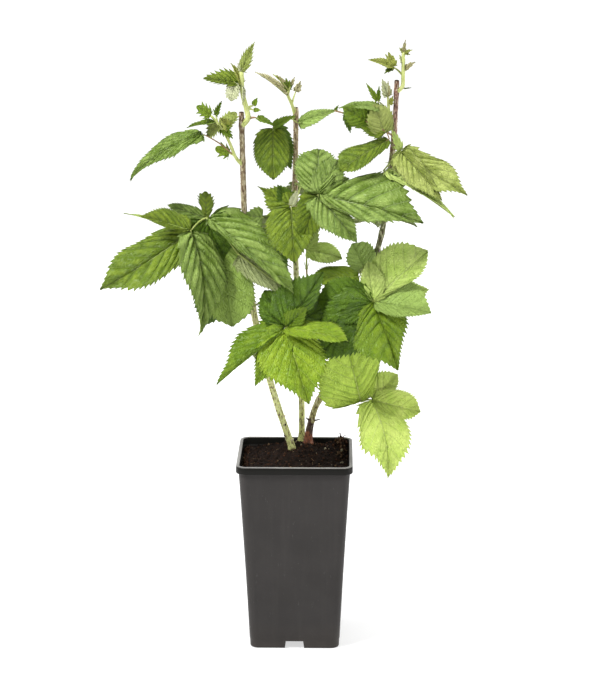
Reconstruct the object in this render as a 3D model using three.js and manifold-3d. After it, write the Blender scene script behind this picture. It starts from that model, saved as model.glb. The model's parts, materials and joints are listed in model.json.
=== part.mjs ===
// A raspberry plant in a tall square nursery pot: three canes that were cut back, the young shoots under their
// cuts, one thin new cane, and compound leaves of toothed, pointed leaflets all round.
// Millimetres, +Z up, the front towards -Y. The origin is the middle of the pot's underside.
import * as THREE from "three";
import { mergeVertices } from "three/addons/utils/BufferGeometryUtils.js";
import Module from "manifold-3d";

const wasm = await Module();
wasm.setup();

// ---------------------------------------------------------------- driving sizes

const GAP = 0.3; // between pieces that touch
const MERGE = 0.08; // where limbs cross, edges closer than this become one

const POT = {
  height: 200,
  rimHalf: 60, // half the width over the rim
  rimTop: 3.6, // width of the rim's flat top
  rimDrop: 7.5, // how far its outer skirt hangs
  underRimHalf: 57.2,
  footHalf: 46.6,
  corner: 9,
  wall: 1.2,
};
// A recess in the middle of each side of the foot, open to the outside, with a drain hole in its ceiling. All
// four stop short of the pot's middle, so a flat square of the foot is left there.
const RECESS = { height: 8, topWidth: 18, footWidth: 20.5, depth: 34 };
const DRAIN = { radius: 4, inset: 12 };
const SOIL = { edge: 191, mound: 202, moundX: 4, moundY: 29, moundHalf: 22, rings: 5 };

// A cane's middle line as [height, x, y], and its radius at the foot and at the cut. The foot stands on the
// soil's mound, or, on the young cane, beside the right cane's bark.
const FOOT = SOIL.mound + GAP;
const CANES = {
  left: {
    line: [[FOOT, -4, 14], [245, -18, 11], [281, -28, 8], [349, -43, 5], [409, -49, 2], [460, -52, 0],
      [508, -53, -3], [556, -54, -6]],
    radius: [3.6, 2.7],
    flare: 1.5,
  },
  middle: {
    line: [[FOOT, 6, 44], [236, 6, 42], [312, 3, 38], [392, 0, 35], [461, -1, 34], [531, 0, 34],
      [556, 0, 34]],
    radius: [3.2, 2.6],
    flare: 1.2,
  },
  right: {
    line: [[FOOT, 13, 30], [224, 16, 27], [243, 21, 24], [270, 34, 20], [339, 60, 14], [406, 82, 9],
      [440, 90, 6], [503, 97, 2], [535, 100, 0], [588, 102, -4]],
    radius: [3.4, 2.4],
    flare: 2.2,
  },
  young: {
    line: [[265, 34.2, 24.3], [273, 29, 27], [325, 19, 30], [378, 12, 27], [397, 11, 26]],
    radius: [1.1, 0.9],
    flare: 0,
  },
};
const FLARE_HEIGHT = 14;
const CANE_STEP = 13; // height between a cane's rings

// A leaflet: its blade widens from a short neck, is widest at a third, and ends in a long point.
const BLADE = {
  thick: 0.012, // of its length, at the midrib
  leastThick: 0.7,
  neck: 0.05,
  neckHalf: 0.8,
  shoulder: 0.5, // the smaller, the rounder its base
  point: 1.15, // the larger, the longer its point
  fullness: 2.75, // brings its widest place to half the given width on either side
  tipHalf: 0.4,
  lengths: [20, 34, Infinity], // blades shorter than these
  teeth: [3, 4, 8], // have so many stations, every second one drawn in
  notch: 0.86,
  bow: 0.035, // how far the midrib rises over a straight line, of the length, unless a leaflet has its own
  cup: 0.14, // how far the edges rise, of the half width
};
const STALK = { radius: 1, tip: 0.7, sides: 5 };
const SUNK = 1.2; // how far a stalk runs into what it carries

// Every spray of leaves grows from a cane at a height. Its joints follow each other: reach is the way to the
// joint from the one before, as [right, back, up]. A leaflet goes to [right, back, up] from its joint, or from
// the end of its own little stalk, on, and is wide across. faces is where its upper side looks: degrees to the
// right of the front, then degrees above level. bow is how far its midrib rises, of its length.
const SPRAYS = {
  left_broad_leaf: {
    cane: "left", height: 448,
    joints: [
      { reach: [-38, -22, 3], leaflets: [
        { to: [82, -32, -69], wide: 72, faces: [35, 45] },
        { to: [-1, 10, 26], wide: 18, faces: [25, 20] },
        { to: [-41, 16, 13], wide: 27, faces: [-15, 20] }] },
      { reach: [-15, -12, -11], leaflets: [
        { to: [-91, -18, -57], wide: 72, faces: [-30, 40], bow: -0.03 },
        { to: [9, -16, -106], wide: 58, faces: [45, 10], bow: 0.12 },
        { to: [-66, -12, 22], wide: 36, faces: [20, 45] }] },
    ],
  },
  left_hanging_leaf: {
    cane: "left", height: 412,
    joints: [{ reach: [-22, 2, 2], leaflets: [
      { to: [-22, -14, -79], wide: 48, faces: [-30, 10] },
      { to: [17, -10, -80], wide: 60, faces: [-30, 10] },
      { to: [-42, 42, -22], wide: 42, faces: [-150, 50] }] }],
  },
  left_inner_leaf: {
    cane: "left", height: 432,
    joints: [{ reach: [12, 4, 2], leaflets: [
      { to: [29, -4, -46], wide: 31, faces: [30, 20] },
      { to: [14, 6, -62], wide: 28, faces: [-25, 15] },
      { on: [6, -9, 15], to: [-20, -2, 2], wide: 20, faces: [-5, 20] }] }],
  },
  middle_upper_leaf: {
    cane: "middle", height: 546,
    joints: [{ reach: [-8, -10, 1], leaflets: [
      { on: [-15, -8, -9], to: [1, -20, -51], wide: 40, faces: [0, 20] },
      { on: [-15, -8, -9], to: [18, -4, 7], wide: 13, faces: [-25, 30] },
      { on: [-15, -8, -9], to: [16, 2, -40], wide: 18, faces: [10, 20] },
      { on: [10, -2, -5], to: [41, -2, 14], wide: 24, faces: [-20, 45] }] }],
  },
  middle_olive_leaf: {
    cane: "middle", height: 470,
    joints: [{ reach: [-3, -42, -9], leaflets: [
      { to: [4, -26, -54], wide: 52, faces: [0, 25] },
      { to: [-35, 12, 19], wide: 30, faces: [-10, 20] },
      { to: [7, -4, 18], wide: 8, faces: [-10, 20] }] }],
  },
  middle_large_leaf: {
    cane: "middle", height: 478,
    joints: [{ reach: [24, -70, -1], leaflets: [
      { to: [3, 38, 42], wide: 48, faces: [5, 45] },
      { to: [106, -16, -25], wide: 72, faces: [5, 45] },
      { to: [40, -26, -43], wide: 42, faces: [10, 35] },
      { to: [32, 22, 16], wide: 28, faces: [10, 50] },
      { to: [-20, 14, -16], wide: 24, faces: [0, 30] }] }],
  },
  right_long_leaf: {
    cane: "right", height: 532,
    joints: [
      { reach: [-8, -8, 5], leaflets: [
        { to: [-31, -2, 27], wide: 35, faces: [10, 5] },
        { on: [3, -2, -7], to: [-50, -18, -30], wide: 36, faces: [-20, 45] }] },
      { reach: [-18, -6, 10], leaflets: [{ to: [-26, -9, 17], wide: 25, faces: [20, 5] }] },
      { reach: [-23, -2, 9], leaflets: [{ to: [5, -4, -19], wide: 9, faces: [20, 15] }] },
      { reach: [-11, 0, 3], leaflets: [{ to: [4, -1, 6], wide: 3, faces: [10, 10] }] },
    ],
  },
  right_arching_leaf: {
    cane: "right", height: 520,
    joints: [{ reach: [7, -19, -1], leaflets: [
      { to: [67, -26, -42], wide: 34, faces: [20, 35], bow: -0.02 },
      { to: [-12, -2, 27], wide: 12, faces: [30, 15] }] }],
  },
  right_yellow_leaf: {
    cane: "right", height: 505,
    joints: [{ reach: [-8, -18, -6], leaflets: [{ to: [71, -28, -42], wide: 46, faces: [40, 60] }] }],
  },
  right_low_leaf: {
    cane: "right", height: 330,
    joints: [{ reach: [23, -51, 39], leaflets: [
      { to: [54, 6, 58], wide: 68, faces: [-15, 25] },
      { to: [54, 32, 12], wide: 40, faces: [0, 45] },
      { to: [57, -18, -7], wide: 40, faces: [-5, 60] },
      { to: [25, -30, -65], wide: 62, faces: [25, 30] },
      { to: [-57, 6, 0], wide: 48, faces: [-5, 15] },
      { to: [-27, -8, -40], wide: 42, faces: [0, 10] }] }],
  },
  right_olive_leaf: {
    cane: "right", height: 396,
    joints: [{ reach: [-9, -9, 0], leaflets: [
      { to: [-19, -3, 25], wide: 31, faces: [15, 5] },
      { on: [-4, -1, -9], to: [-51, -6, -2], wide: 34, faces: [5, 72] }] }],
  },
  front_bright_leaf: {
    cane: "middle", height: 300,
    joints: [{ reach: [-12, -89, 44], leaflets: [
      { to: [24, -34, -71], wide: 72, faces: [-5, 25] },
      { to: [-34, -32, -54], wide: 34, faces: [-5, 25] },
      { to: [-66, -28, -50], wide: 52, faces: [-40, 45] },
      { to: [38, 20, 54], wide: 62, faces: [5, 15] },
      { to: [22, 2, 22], wide: 22, faces: [0, 15] },
      { to: [-22, 16, 36], wide: 34, faces: [-10, 15] },
      { to: [63, -30, -6], wide: 46, faces: [-10, 75] },
      { to: [10, 42, 16], wide: 30, faces: [0, 50] }] }],
  },
  right_yellow_green_leaf: {
    cane: "right", height: 252,
    joints: [{ reach: [54, -43, 10], leaflets: [
      { on: [-20, 4, -2], to: [-8, 8, 63], wide: 66, faces: [5, 10] },
      { to: [17, -24, -77], wide: 62, faces: [35, 20], bow: 0.12 },
      { to: [50, -14, -9], wide: 35, faces: [-15, 15] },
      { to: [27, 10, 25], wide: 27, faces: [5, 20] }] }],
  },
  young_cane_leaf: {
    cane: "young", height: 390,
    joints: [{ reach: [0, -6, 21], leaflets: [
      { to: [37, -12, -7], wide: 26, faces: [-15, 30] },
      { to: [12, -6, 30], wide: 22, faces: [-20, -5] }] }],
  },
  left_top_shoot: {
    cane: "left", height: 545, radius: 2.4, tip: 1.7,
    joints: [
      { reach: [6, -5, 5], leaflets: [{ on: [8, 0, 1], to: [18, -3, -8], wide: 9, faces: [20, 50] }] },
      { reach: [-2, 0, 12], leaflets: [
        { on: [7, 1, 0], to: [5, -1, 9], wide: 7, faces: [-40, 20] },
        { on: [7, 1, 0], to: [10, -1, 1], wide: 6, faces: [0, 40] }] },
      { reach: [-3, -1, 14], leaflets: [
        { on: [-4, 0, 9], to: [-10, -2, 21], wide: 11, faces: [45, 20] },
        { on: [-4, -1, 10], to: [-38, -4, 7], wide: 24, faces: [20, 50] },
        { on: [-6, -2, 9], to: [-6, -4, -18], wide: 15, faces: [0, 10] }] },
      { reach: [-1, -1, 21], leaflets: [
        { to: [13, 1, 30], wide: 14, faces: [-45, 15] },
        { to: [-4, 1, 9], wide: 5, faces: [0, 10] }] },
    ],
  },
  left_side_shoot: {
    cane: "left", height: 507, radius: 2, tip: 1.2,
    joints: [
      { reach: [-7, -5, 4], leaflets: [
        { on: [-31, -10, 24], to: [-75, -18, -43], wide: 34, faces: [-40, 45], bow: 0.08 },
        { on: [-6, -2, 4], to: [-14, -6, 6], wide: 14, faces: [15, 10] }] },
      { reach: [-7, -4, 18], leaflets: [
        { on: [1, -2, 11], to: [-9, 0, 12], wide: 12, faces: [20, 10] },
        { on: [-7, 0, 12], to: [14, 8, 18], wide: 20, faces: [-30, 35] }] },
      { reach: [-10, -4, 17], leaflets: [
        { on: [-2, -1, 1], to: [-29, -7, -4], wide: 12, faces: [-30, 70] },
        { to: [-12, 2, -13], wide: 15, faces: [-10, 0] },
        { on: [-2, -2, 8], to: [6, -2, 15], wide: 7, faces: [-20, 10] }] },
      { reach: [-7, -2, 8], leaflets: [{ to: [-15, -4, 11], wide: 13, faces: [15, 5] }] },
    ],
  },
  middle_top_shoot: {
    cane: "middle", height: 552, radius: 1.8, tip: 1.4,
    joints: [
      { reach: [-4, -3, 8], leaflets: [{ on: [4, -1, 13], to: [5, -2, 11], wide: 8, faces: [20, 10] }] },
      { reach: [-4, -1, 9], leaflets: [{ to: [-33, -4, 25], wide: 13, faces: [60, 45] }] },
      { reach: [1, 0, 5], leaflets: [
        { to: [-16, -2, 17], wide: 9, faces: [60, 40] },
        { to: [-3, -2, 13], wide: 8, faces: [10, 10] },
        { on: [2, 0, 5], to: [4, 0, 9], wide: 4, faces: [0, 10] }] },
    ],
  },
  right_top_shoot: {
    cane: "right", height: 577, radius: 2, tip: 1.5,
    joints: [
      { reach: [6, -2, 4], leaflets: [{ on: [3, 0, 1], to: [8, -1, 3], wide: 5, faces: [0, 50] }] },
      { reach: [1, -1, 13], leaflets: [
        { on: [-10, -3, 9], to: [-25, -5, 8], wide: 11, faces: [45, 60] },
        { on: [-10, -3, 9], to: [-5, -1, 15], wide: 9, faces: [5, 0] },
        { on: [-10, -3, 9], to: [-9, -5, -6], wide: 7, faces: [-20, 40] },
        { on: [2, 0, 6], to: [10, -2, 8], wide: 7, faces: [-30, 30] }] },
      { reach: [0, 0, 12], leaflets: [] },
      { reach: [0, 0, 11], leaflets: [
        { to: [2, 0, 13], wide: 4, faces: [0, 5] },
        { to: [9, -2, 3], wide: 4, faces: [-20, 40] },
        { to: [-4, -1, 5], wide: 4, faces: [20, 30] }] },
    ],
  },
  right_side_shoot: {
    cane: "right", height: 538, radius: 1.4, tip: 1,
    joints: [
      { reach: [-6, -4, 19], leaflets: [
        { on: [-11, -4, 11], to: [-12, -2, 18], wide: 9, faces: [55, 25] },
        { on: [-11, -4, 11], to: [1, -1, 15], wide: 5, faces: [0, 5] },
        { on: [1, -1, 7], to: [3, -2, 9], wide: 6, faces: [-20, 20] }] },
      { reach: [-1, -1, 15], leaflets: [{ to: [-6, -2, 17], wide: 9, faces: [20, 0] }] },
    ],
  },
};

// The leaves behind the canes follow one rule. turn is which way the stalk grows, in degrees to the right of
// the front; stalk and leaf are lengths, and pairs is how many pairs of side leaflets stand under the end one.
const BACK_RULE = { rise: 25, hang: 32, sideTurn: 66, sideHang: 18, sideSize: 0.85, shape: 0.66, vary: 0.14 };
const BACK_LEAVES = {
  left_back_leaf_high: { cane: "left", height: 424, turn: 222, stalk: 42, leaf: 60, pairs: 1 },
  left_back_leaf_inner: { cane: "left", height: 390, turn: 165, stalk: 40, leaf: 56, pairs: 1 },
  left_back_leaf_low: { cane: "left", height: 356, turn: 228, stalk: 40, leaf: 54, pairs: 1 },
  left_back_leaf_foot: { cane: "left", height: 296, turn: 190, stalk: 36, leaf: 48, pairs: 1 },
  middle_back_leaf_high: { cane: "middle", height: 458, turn: 168, stalk: 38, leaf: 54, pairs: 1 },
  middle_back_leaf_side: { cane: "middle", height: 424, turn: 208, stalk: 40, leaf: 56, pairs: 1 },
  middle_back_leaf_low: { cane: "middle", height: 340, turn: 188, stalk: 44, leaf: 60, pairs: 2 },
  right_back_leaf_high: { cane: "right", height: 432, turn: 182, stalk: 42, leaf: 58, pairs: 1 },
  right_back_leaf_side: { cane: "right", height: 376, turn: 150, stalk: 40, leaf: 54, pairs: 1 },
  right_back_leaf_low: { cane: "right", height: 318, turn: 172, stalk: 42, leaf: 60, pairs: 2 },
};

// ---------------------------------------------------------------- vectors and curves

const v3 = (p) => new THREE.Vector3(...p);
const degrees = THREE.MathUtils.degToRad;

// The unit vector that looks so many degrees right of the front and so many above level.
function looking([turn, rise]) {
  const [a, b] = [degrees(turn), degrees(rise)];
  return new THREE.Vector3(Math.sin(a) * Math.cos(b), -Math.cos(a) * Math.cos(b), Math.sin(b));
}

// A smooth curve through rows of [height, x, y], read at one height.
function lineAt(line, height) {
  let i = 0;
  while (i < line.length - 2 && height > line[i + 1][0]) i += 1;
  const row = (k) => line[Math.min(Math.max(k, 0), line.length - 1)];
  const [a, b, c, d] = [row(i - 1), row(i), row(i + 1), row(i + 2)];
  const span = c[0] - b[0];
  const u = (height - b[0]) / span;
  const at = (k) => {
    const into = a === b ? (c[k] - b[k]) / span : (c[k] - a[k]) / (c[0] - a[0]);
    const out = d === c ? (c[k] - b[k]) / span : (d[k] - b[k]) / (d[0] - b[0]);
    return (2 * u ** 3 - 3 * u ** 2 + 1) * b[k] + (u ** 3 - 2 * u ** 2 + u) * span * into
      + (3 * u ** 2 - 2 * u ** 3) * c[k] + (u ** 3 - u ** 2) * span * out;
  };
  return new THREE.Vector3(at(1), at(2), height);
}

function caneRadius({ line, radius, flare }, height) {
  const share = (height - line[0][0]) / (line.at(-1)[0] - line[0][0]);
  const spread = Math.max(0, 1 - (height - line[0][0]) / FLARE_HEIGHT);
  return THREE.MathUtils.lerp(...radius, share) + flare * spread ** 2;
}

// Draws that repeat for the same seed, each between 1 - share and 1 + share.
function variation(seed, share) {
  let state = seed;
  return () => {
    state = (state * 48271) % 2147483647;
    return 1 + share * ((2 * state) / 2147483647 - 1);
  };
}

// ---------------------------------------------------------------- solids

// Joins rings of equally many points into one closed skin. Seen from its end, a ring runs against the clock.
function loft(rings) {
  const count = rings[0].length;
  const index = [];
  for (let r = 0; r + 1 < rings.length; r += 1) {
    for (let k = 0; k < count; k += 1) {
      const [a, b] = [r * count + k, r * count + ((k + 1) % count)];
      index.push(a, b, b + count, a, b + count, a + count);
    }
  }
  const last = (rings.length - 1) * count;
  for (let k = 1; k + 1 < count; k += 1) index.push(0, k + 1, k, last, last + k, last + k + 1);
  const geometry = new THREE.BufferGeometry().setFromPoints(rings.flat());
  geometry.setIndex(index);
  return geometry;
}

function solid(geometry) {
  const bare = geometry.clone();
  for (const name of ["normal", "uv"]) bare.deleteAttribute(name);
  const merged = mergeVertices(bare, 1e-4);
  return new wasm.Manifold(new wasm.Mesh({
    numProp: 3,
    vertProperties: new Float32Array(merged.attributes.position.array),
    triVerts: new Uint32Array(merged.index.array),
  }));
}

function geometryOf(made) {
  const { vertProperties, triVerts } = made.getMesh();
  const geometry = new THREE.BufferGeometry();
  geometry.setAttribute("position", new THREE.BufferAttribute(new Float32Array(vertProperties), 3));
  geometry.setIndex(new THREE.BufferAttribute(new Uint32Array(triVerts), 1));
  geometry.computeVertexNormals();
  return geometry;
}

const join = (solids) => solids.reduce((whole, piece) => whole.add(piece));

// A tapering round limb through points, each with its radius. startWay, where given, turns its first ring.
function limb(points, radii, sides, startWay) {
  let side = new THREE.Vector3(1, 0, 0);
  const rings = points.map((point, i) => {
    const before = points[Math.max(i - 1, 0)];
    const after = points[Math.min(i + 1, points.length - 1)];
    const way = i === 0 && startWay ? startWay : after.clone().sub(before).normalize();
    if (i === 0 && Math.abs(way.x) > 0.9) side.set(0, 1, 0);
    side = side.clone().addScaledVector(way, -side.dot(way)).normalize();
    const other = new THREE.Vector3().crossVectors(way, side);
    return Array.from({ length: sides }, (_, k) => {
      const a = (2 * Math.PI * k) / sides;
      const [aside, onward] = [radii[i] * Math.cos(a), radii[i] * Math.sin(a)];
      return point.clone().addScaledVector(side, aside).addScaledVector(other, onward);
    });
  });
  return solid(loft(rings));
}

// One level square ring with round corners.
function squareRing(half, corner, height, x = 0, y = 0) {
  const ring = [];
  const steps = 4;
  for (let quarter = 0; quarter < 4; quarter += 1) {
    const across = (half - corner) * (quarter === 0 || quarter === 3 ? 1 : -1);
    const back = (half - corner) * (quarter < 2 ? 1 : -1);
    for (let k = 0; k <= steps; k += 1) {
      const a = (Math.PI / 2) * (quarter + k / steps);
      const [right, rear] = [corner * Math.cos(a), corner * Math.sin(a)];
      ring.push(new THREE.Vector3(x + across + right, y + back + rear, height));
    }
  }
  return ring;
}

// ---------------------------------------------------------------- pot and soil

// Half the pot's outer width at a height under its rim.
function wallHalf(height) {
  return THREE.MathUtils.lerp(POT.footHalf, POT.underRimHalf, height / (POT.height - POT.rimDrop));
}

// The four recesses under the pot, grown on all sides by more.
function recesses(more) {
  const { height, topWidth, footWidth, depth } = RECESS;
  const [top, foot] = [topWidth / 2 + more, footWidth / 2 + more];
  const corners = [[-foot, -1], [foot, -1], [top, height + more], [-top, height + more]];
  const shape = new THREE.Shape(corners.map(([x, y]) => new THREE.Vector2(x, y)));
  return join([0, 1, 2, 3].map((side) => {
    const bar = new THREE.ExtrudeGeometry(shape, { depth: depth + 20, bevelEnabled: false });
    bar.rotateX(Math.PI / 2).translate(0, depth + more - POT.footHalf, 0).rotateZ((side * Math.PI) / 2);
    return solid(bar);
  }));
}

function drains() {
  return join([0, 1, 2, 3].map((side) => {
    const hole = new THREE.CylinderGeometry(DRAIN.radius, DRAIN.radius, 3 * POT.wall, 10);
    hole.rotateX(Math.PI / 2).translate(0, DRAIN.inset - POT.footHalf, RECESS.height + POT.wall / 2);
    return solid(hole.rotateZ((side * Math.PI) / 2));
  }));
}

// The room inside the pot's wall up to a height, less clear all round.
function room(top, clear) {
  const inset = POT.wall + clear;
  const ring = (height) => squareRing(wallHalf(height) - inset, POT.corner - inset, height);
  return loft([ring(inset), ring(top)]);
}

function pot() {
  const { rimHalf, rimTop, corner, wall } = POT;
  const skirt = POT.height - POT.rimDrop;
  const outside = solid(loft([
    squareRing(POT.footHalf - 1, corner - 1, 0),
    squareRing(POT.footHalf, corner, 2),
    squareRing(POT.underRimHalf, corner, skirt - 0.8),
    squareRing(rimHalf, corner + 1.5, skirt),
    squareRing(rimHalf - 0.6, corner + 1, POT.height - 0.5),
    squareRing(rimHalf - 1.1, corner + 1, POT.height),
  ]));
  const mouth = solid(loft([
    squareRing(wallHalf(skirt - 4) - wall, corner - wall, skirt - 4.2),
    squareRing(rimHalf - rimTop, corner - wall, POT.height),
    squareRing(rimHalf - rimTop, corner - wall, POT.height + 1),
  ]));
  const inside = solid(room(skirt - 4, 0)).subtract(recesses(wall)).add(mouth);
  return outside.subtract(inside).subtract(recesses(0)).subtract(drains());
}

// The soil fills the pot and rises from its edge to a flat mound, where the canes stand.
function soil() {
  const { edge, mound, moundX, moundY, moundHalf, rings } = SOIL;
  const inset = POT.wall + GAP;
  const outer = squareRing(wallHalf(edge) - inset, POT.corner - inset, edge);
  const inner = squareRing(moundHalf, moundHalf * 0.9, mound, moundX, moundY);
  const top = [];
  for (let r = 0; r <= rings; r += 1) {
    const share = r / rings;
    const height = THREE.MathUtils.lerp(edge, mound, Math.sin((share * Math.PI) / 2));
    top.push(outer.map((p, k) => p.clone().lerp(inner[k], share).setZ(height)));
  }
  const foot = squareRing(wallHalf(inset) - inset, POT.corner - inset, inset);
  return solid(loft([foot, ...top])).subtract(recesses(inset));
}

// ---------------------------------------------------------------- canes and leaves

function cane(about) {
  const [low, high] = [about.line[0][0], about.line.at(-1)[0]];
  const steps = Math.round((high - low) / CANE_STEP);
  const heights = about.flare ? [low, low + FLARE_HEIGHT / 3] : [low];
  for (let i = 1; i <= steps; i += 1) heights.push(low + ((high - low) * i) / steps);
  const radii = heights.map((height) => caneRadius(about, height));
  return limb(heights.map((height) => lineAt(about.line, height)), radii, 8, new THREE.Vector3(0, 0, 1));
}

// Half a leaflet's width at a share of its length, from its neck to its point.
function bladeHalf(share, wide) {
  if (share <= BLADE.neck) return BLADE.neckHalf;
  const u = (share - BLADE.neck) / (1 - BLADE.neck);
  return Math.max(BLADE.tipHalf, (wide / 2) * BLADE.fullness * u ** BLADE.shoulder * (1 - u) ** BLADE.point);
}

function leaflet(base, { to, wide, faces, bow = BLADE.bow }) {
  const reach = v3(to);
  const length = reach.length();
  const along = reach.clone().normalize();
  const up = looking(faces);
  up.addScaledVector(along, -up.dot(along)).normalize();
  const across = new THREE.Vector3().crossVectors(up, along);
  const thick = Math.max(BLADE.leastThick, BLADE.thick * length);
  const teeth = BLADE.teeth[BLADE.lengths.findIndex((most) => length < most)];
  const shares = [0, BLADE.neck];
  for (let i = 1; i <= teeth; i += 1) shares.push(BLADE.neck + ((1 - BLADE.neck) * i) / teeth);
  const rings = shares.map((share, i) => {
    const drawnIn = i > 2 && i % 2 === 1 && i < shares.length - 1 ? BLADE.notch : 1;
    const half = bladeHalf(share, wide) * drawnIn;
    const middle = base.clone().addScaledVector(reach, share)
      .addScaledVector(up, 4 * bow * length * share * (1 - share));
    const at = (side, rise) => middle.clone().addScaledVector(across, side).addScaledVector(up, rise);
    return [at(half, BLADE.cup * half), at(0, thick / 2), at(-half, BLADE.cup * half), at(0, -thick / 2)];
  });
  return solid(loft(rings));
}

// A spray's stalk starts GAP clear of its cane's bark and runs through its joints. Leaflets, and the little
// stalks that some stand on, start in its middle, and each stalk runs SUNK into what it carries.
function spray({ cane: from, height, joints, radius = STALK.radius, tip = STALK.tip }) {
  const { line: caneLine } = CANES[from];
  const core = lineAt(caneLine, height);
  const lean = lineAt(caneLine, height + 1).distanceTo(lineAt(caneLine, height - 1)) / 2;
  const reach = v3(joints[0].reach);
  const level = reach.clone().setZ(0).normalize();
  const way = reach.clone();
  const start = new THREE.Vector3();
  for (let pass = 0; pass < 3; pass += 1) {
    const steep = Math.abs(way.z) / way.length();
    start.copy(core).addScaledVector(level, caneRadius(CANES[from], height) * lean + GAP + radius * steep);
    way.copy(core).add(reach).sub(start);
  }
  const line = [start];
  const carried = [];
  let joint = core;
  for (const { reach: next, leaflets } of joints) {
    joint = joint.clone().add(v3(next));
    line.push(joint);
    for (const leaf of leaflets) {
      const base = leaf.on ? joint.clone().add(v3(leaf.on)) : joint;
      if (leaf.on) carried.push(limb([joint, further(joint, base)], [STALK.tip, STALK.tip], 4));
      carried.push(leaflet(base, leaf));
    }
  }
  line.push(further(line.at(-2), line.pop()));
  const radii = line.map((_, i) => THREE.MathUtils.lerp(radius, tip, i / (line.length - 1)));
  return join([limb(line, radii, STALK.sides), ...carried]).simplify(MERGE);
}

const further = (from, to) => to.clone().addScaledVector(to.clone().sub(from).normalize(), SUNK);

// A leaf by the back rule: pairs of side leaflets along the stalk, and one leaflet at its end.
function backLeaf({ cane: from, height, turn, stalk, leaf, pairs }, seed) {
  const { rise, hang, sideTurn, sideHang, sideSize, shape, vary } = BACK_RULE;
  const draw = variation(seed, vary);
  const blade = (away, down, size) => {
    const length = size * draw();
    const facing = [turn + away * draw() * 0.6, 62 * draw()];
    const to = looking([turn + away * draw(), -down * draw()]).multiplyScalar(length);
    return { to: to.toArray(), wide: length * shape, faces: facing };
  };
  const joints = [];
  for (let i = 0; i < pairs; i += 1) {
    const step = i === 0 ? stalk * (1 - 0.3 * pairs) : stalk * 0.3;
    const size = leaf * sideSize * (1 - 0.12 * (pairs - 1 - i));
    const sides = [-sideTurn, sideTurn].map((away) => blade(away, sideHang, size));
    joints.push({ reach: looking([turn, rise]).multiplyScalar(step).toArray(), leaflets: sides });
  }
  joints.push({ reach: looking([turn, rise * 0.6]).multiplyScalar(stalk * 0.3).toArray(),
    leaflets: [blade(0, hang, leaf)] });
  return { cane: from, height, joints };
}

// ---------------------------------------------------------------- the assembly

const looks = {
  plastic: new THREE.MeshStandardMaterial({ color: 0x3d3c3c, roughness: 0.55, metalness: 0 }),
  peat: new THREE.MeshStandardMaterial({ color: 0x1f1511, roughness: 0.95, metalness: 0 }),
  bark: new THREE.MeshStandardMaterial({ color: 0x9a8a68, roughness: 0.7, metalness: 0 }),
  leaf: new THREE.MeshStandardMaterial({ color: 0x5f8f33, roughness: 0.6, metalness: 0 }),
};

const plant = new THREE.Group();
function place(name, made, look) {
  const mesh = new THREE.Mesh(geometryOf(made), looks[look]);
  mesh.name = name;
  plant.add(mesh);
}

place("pot", pot(), "plastic");
place("soil", soil(), "peat");
for (const [name, about] of Object.entries(CANES)) place(`${name}_cane`, cane(about), "bark");
for (const [name, about] of Object.entries(SPRAYS)) place(name, spray(about), "leaf");
Object.entries(BACK_LEAVES).forEach(([name, about], i) => {
  place(name, spray(backLeaf(about, 101 + 37 * i)), "leaf");
});

export default plant;
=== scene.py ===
"""A young raspberry plant in a tall square nursery pot, dressed round its solids.

Tables are in millimetres and degrees, +Z up, the front towards -Y. Meshes are written in metres.
"""
import json
import math
import random

import bpy
import numpy as np
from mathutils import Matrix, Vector


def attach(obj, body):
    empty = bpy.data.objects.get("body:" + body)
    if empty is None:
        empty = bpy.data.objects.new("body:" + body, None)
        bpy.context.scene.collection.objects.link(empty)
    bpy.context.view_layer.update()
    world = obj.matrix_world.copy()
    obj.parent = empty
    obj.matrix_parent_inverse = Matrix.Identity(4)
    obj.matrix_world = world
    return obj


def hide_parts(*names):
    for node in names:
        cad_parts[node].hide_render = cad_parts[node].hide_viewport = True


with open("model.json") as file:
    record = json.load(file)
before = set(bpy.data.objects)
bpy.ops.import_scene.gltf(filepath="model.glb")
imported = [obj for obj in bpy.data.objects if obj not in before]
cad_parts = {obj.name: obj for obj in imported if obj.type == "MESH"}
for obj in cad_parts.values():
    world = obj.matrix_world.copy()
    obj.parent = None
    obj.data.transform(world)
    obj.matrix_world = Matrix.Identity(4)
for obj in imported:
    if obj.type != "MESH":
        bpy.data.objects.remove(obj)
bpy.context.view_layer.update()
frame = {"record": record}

MM = 0.001
GAP = 0.3
POT = {"height": 200, "rim_half": 60, "rim_top": 3.6, "rim_drop": 7.5, "under_rim_half": 57.2,
       "foot_half": 46.6, "corner": 9, "wall": 1.2}
RECESS = {"height": 8, "top_width": 18, "foot_width": 20.5, "depth": 34}
DRAIN = {"radius": 4, "inset": 12}
SOIL = {"edge": 191, "mound": 202, "mound_x": 4, "mound_y": 29}

# ---------------------------------------------------------------- camera and lamps

scene = bpy.context.scene
scene.view_settings.view_transform = "Standard"

PICTURE_WIDTH = 600
FOCAL_PIXELS = 2139.8
SENSOR = 36.0
# Its place in metres, and how far it is turned down and left in radians.
CAMERA = {"place": (0.0447, -2.1515, 0.818), "down": 0.2281, "left": 0.0185}
# How bright the studio's walls show, how strongly they light the plant, and how bright they are in a gloss.
SHOWN_WHITE, LIGHTING_WHITE, MIRRORED_WHITE = 1.0, 0.45, 0.26
MIDDLE = (0, 0, 0.36)
# Each lamp's place, what it is turned to and its size, in metres, and its power in watts.
LAMPS = {
    "key": ((-1.2, -0.85, 2.0), MIDDLE, (0.6, 0.6), 61),
    "overhead": ((0.35, 0.3, 2.3), MIDDLE, (1.0, 1.0), 24),
    "side_right": ((1.7, -0.2, 0.7), (0, 0, 0.2), (0.4, 1.5), 15),
    "side_left": ((-1.8, 0.3, 0.8), MIDDLE, (0.4, 1.5), 4),
    "back": ((0, 2.4, 0.9), MIDDLE, (3.0, 1.6), 12),
}


def put(name, data):
    made = bpy.data.objects.new(name, data)
    scene.collection.objects.link(made)
    return made


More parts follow.
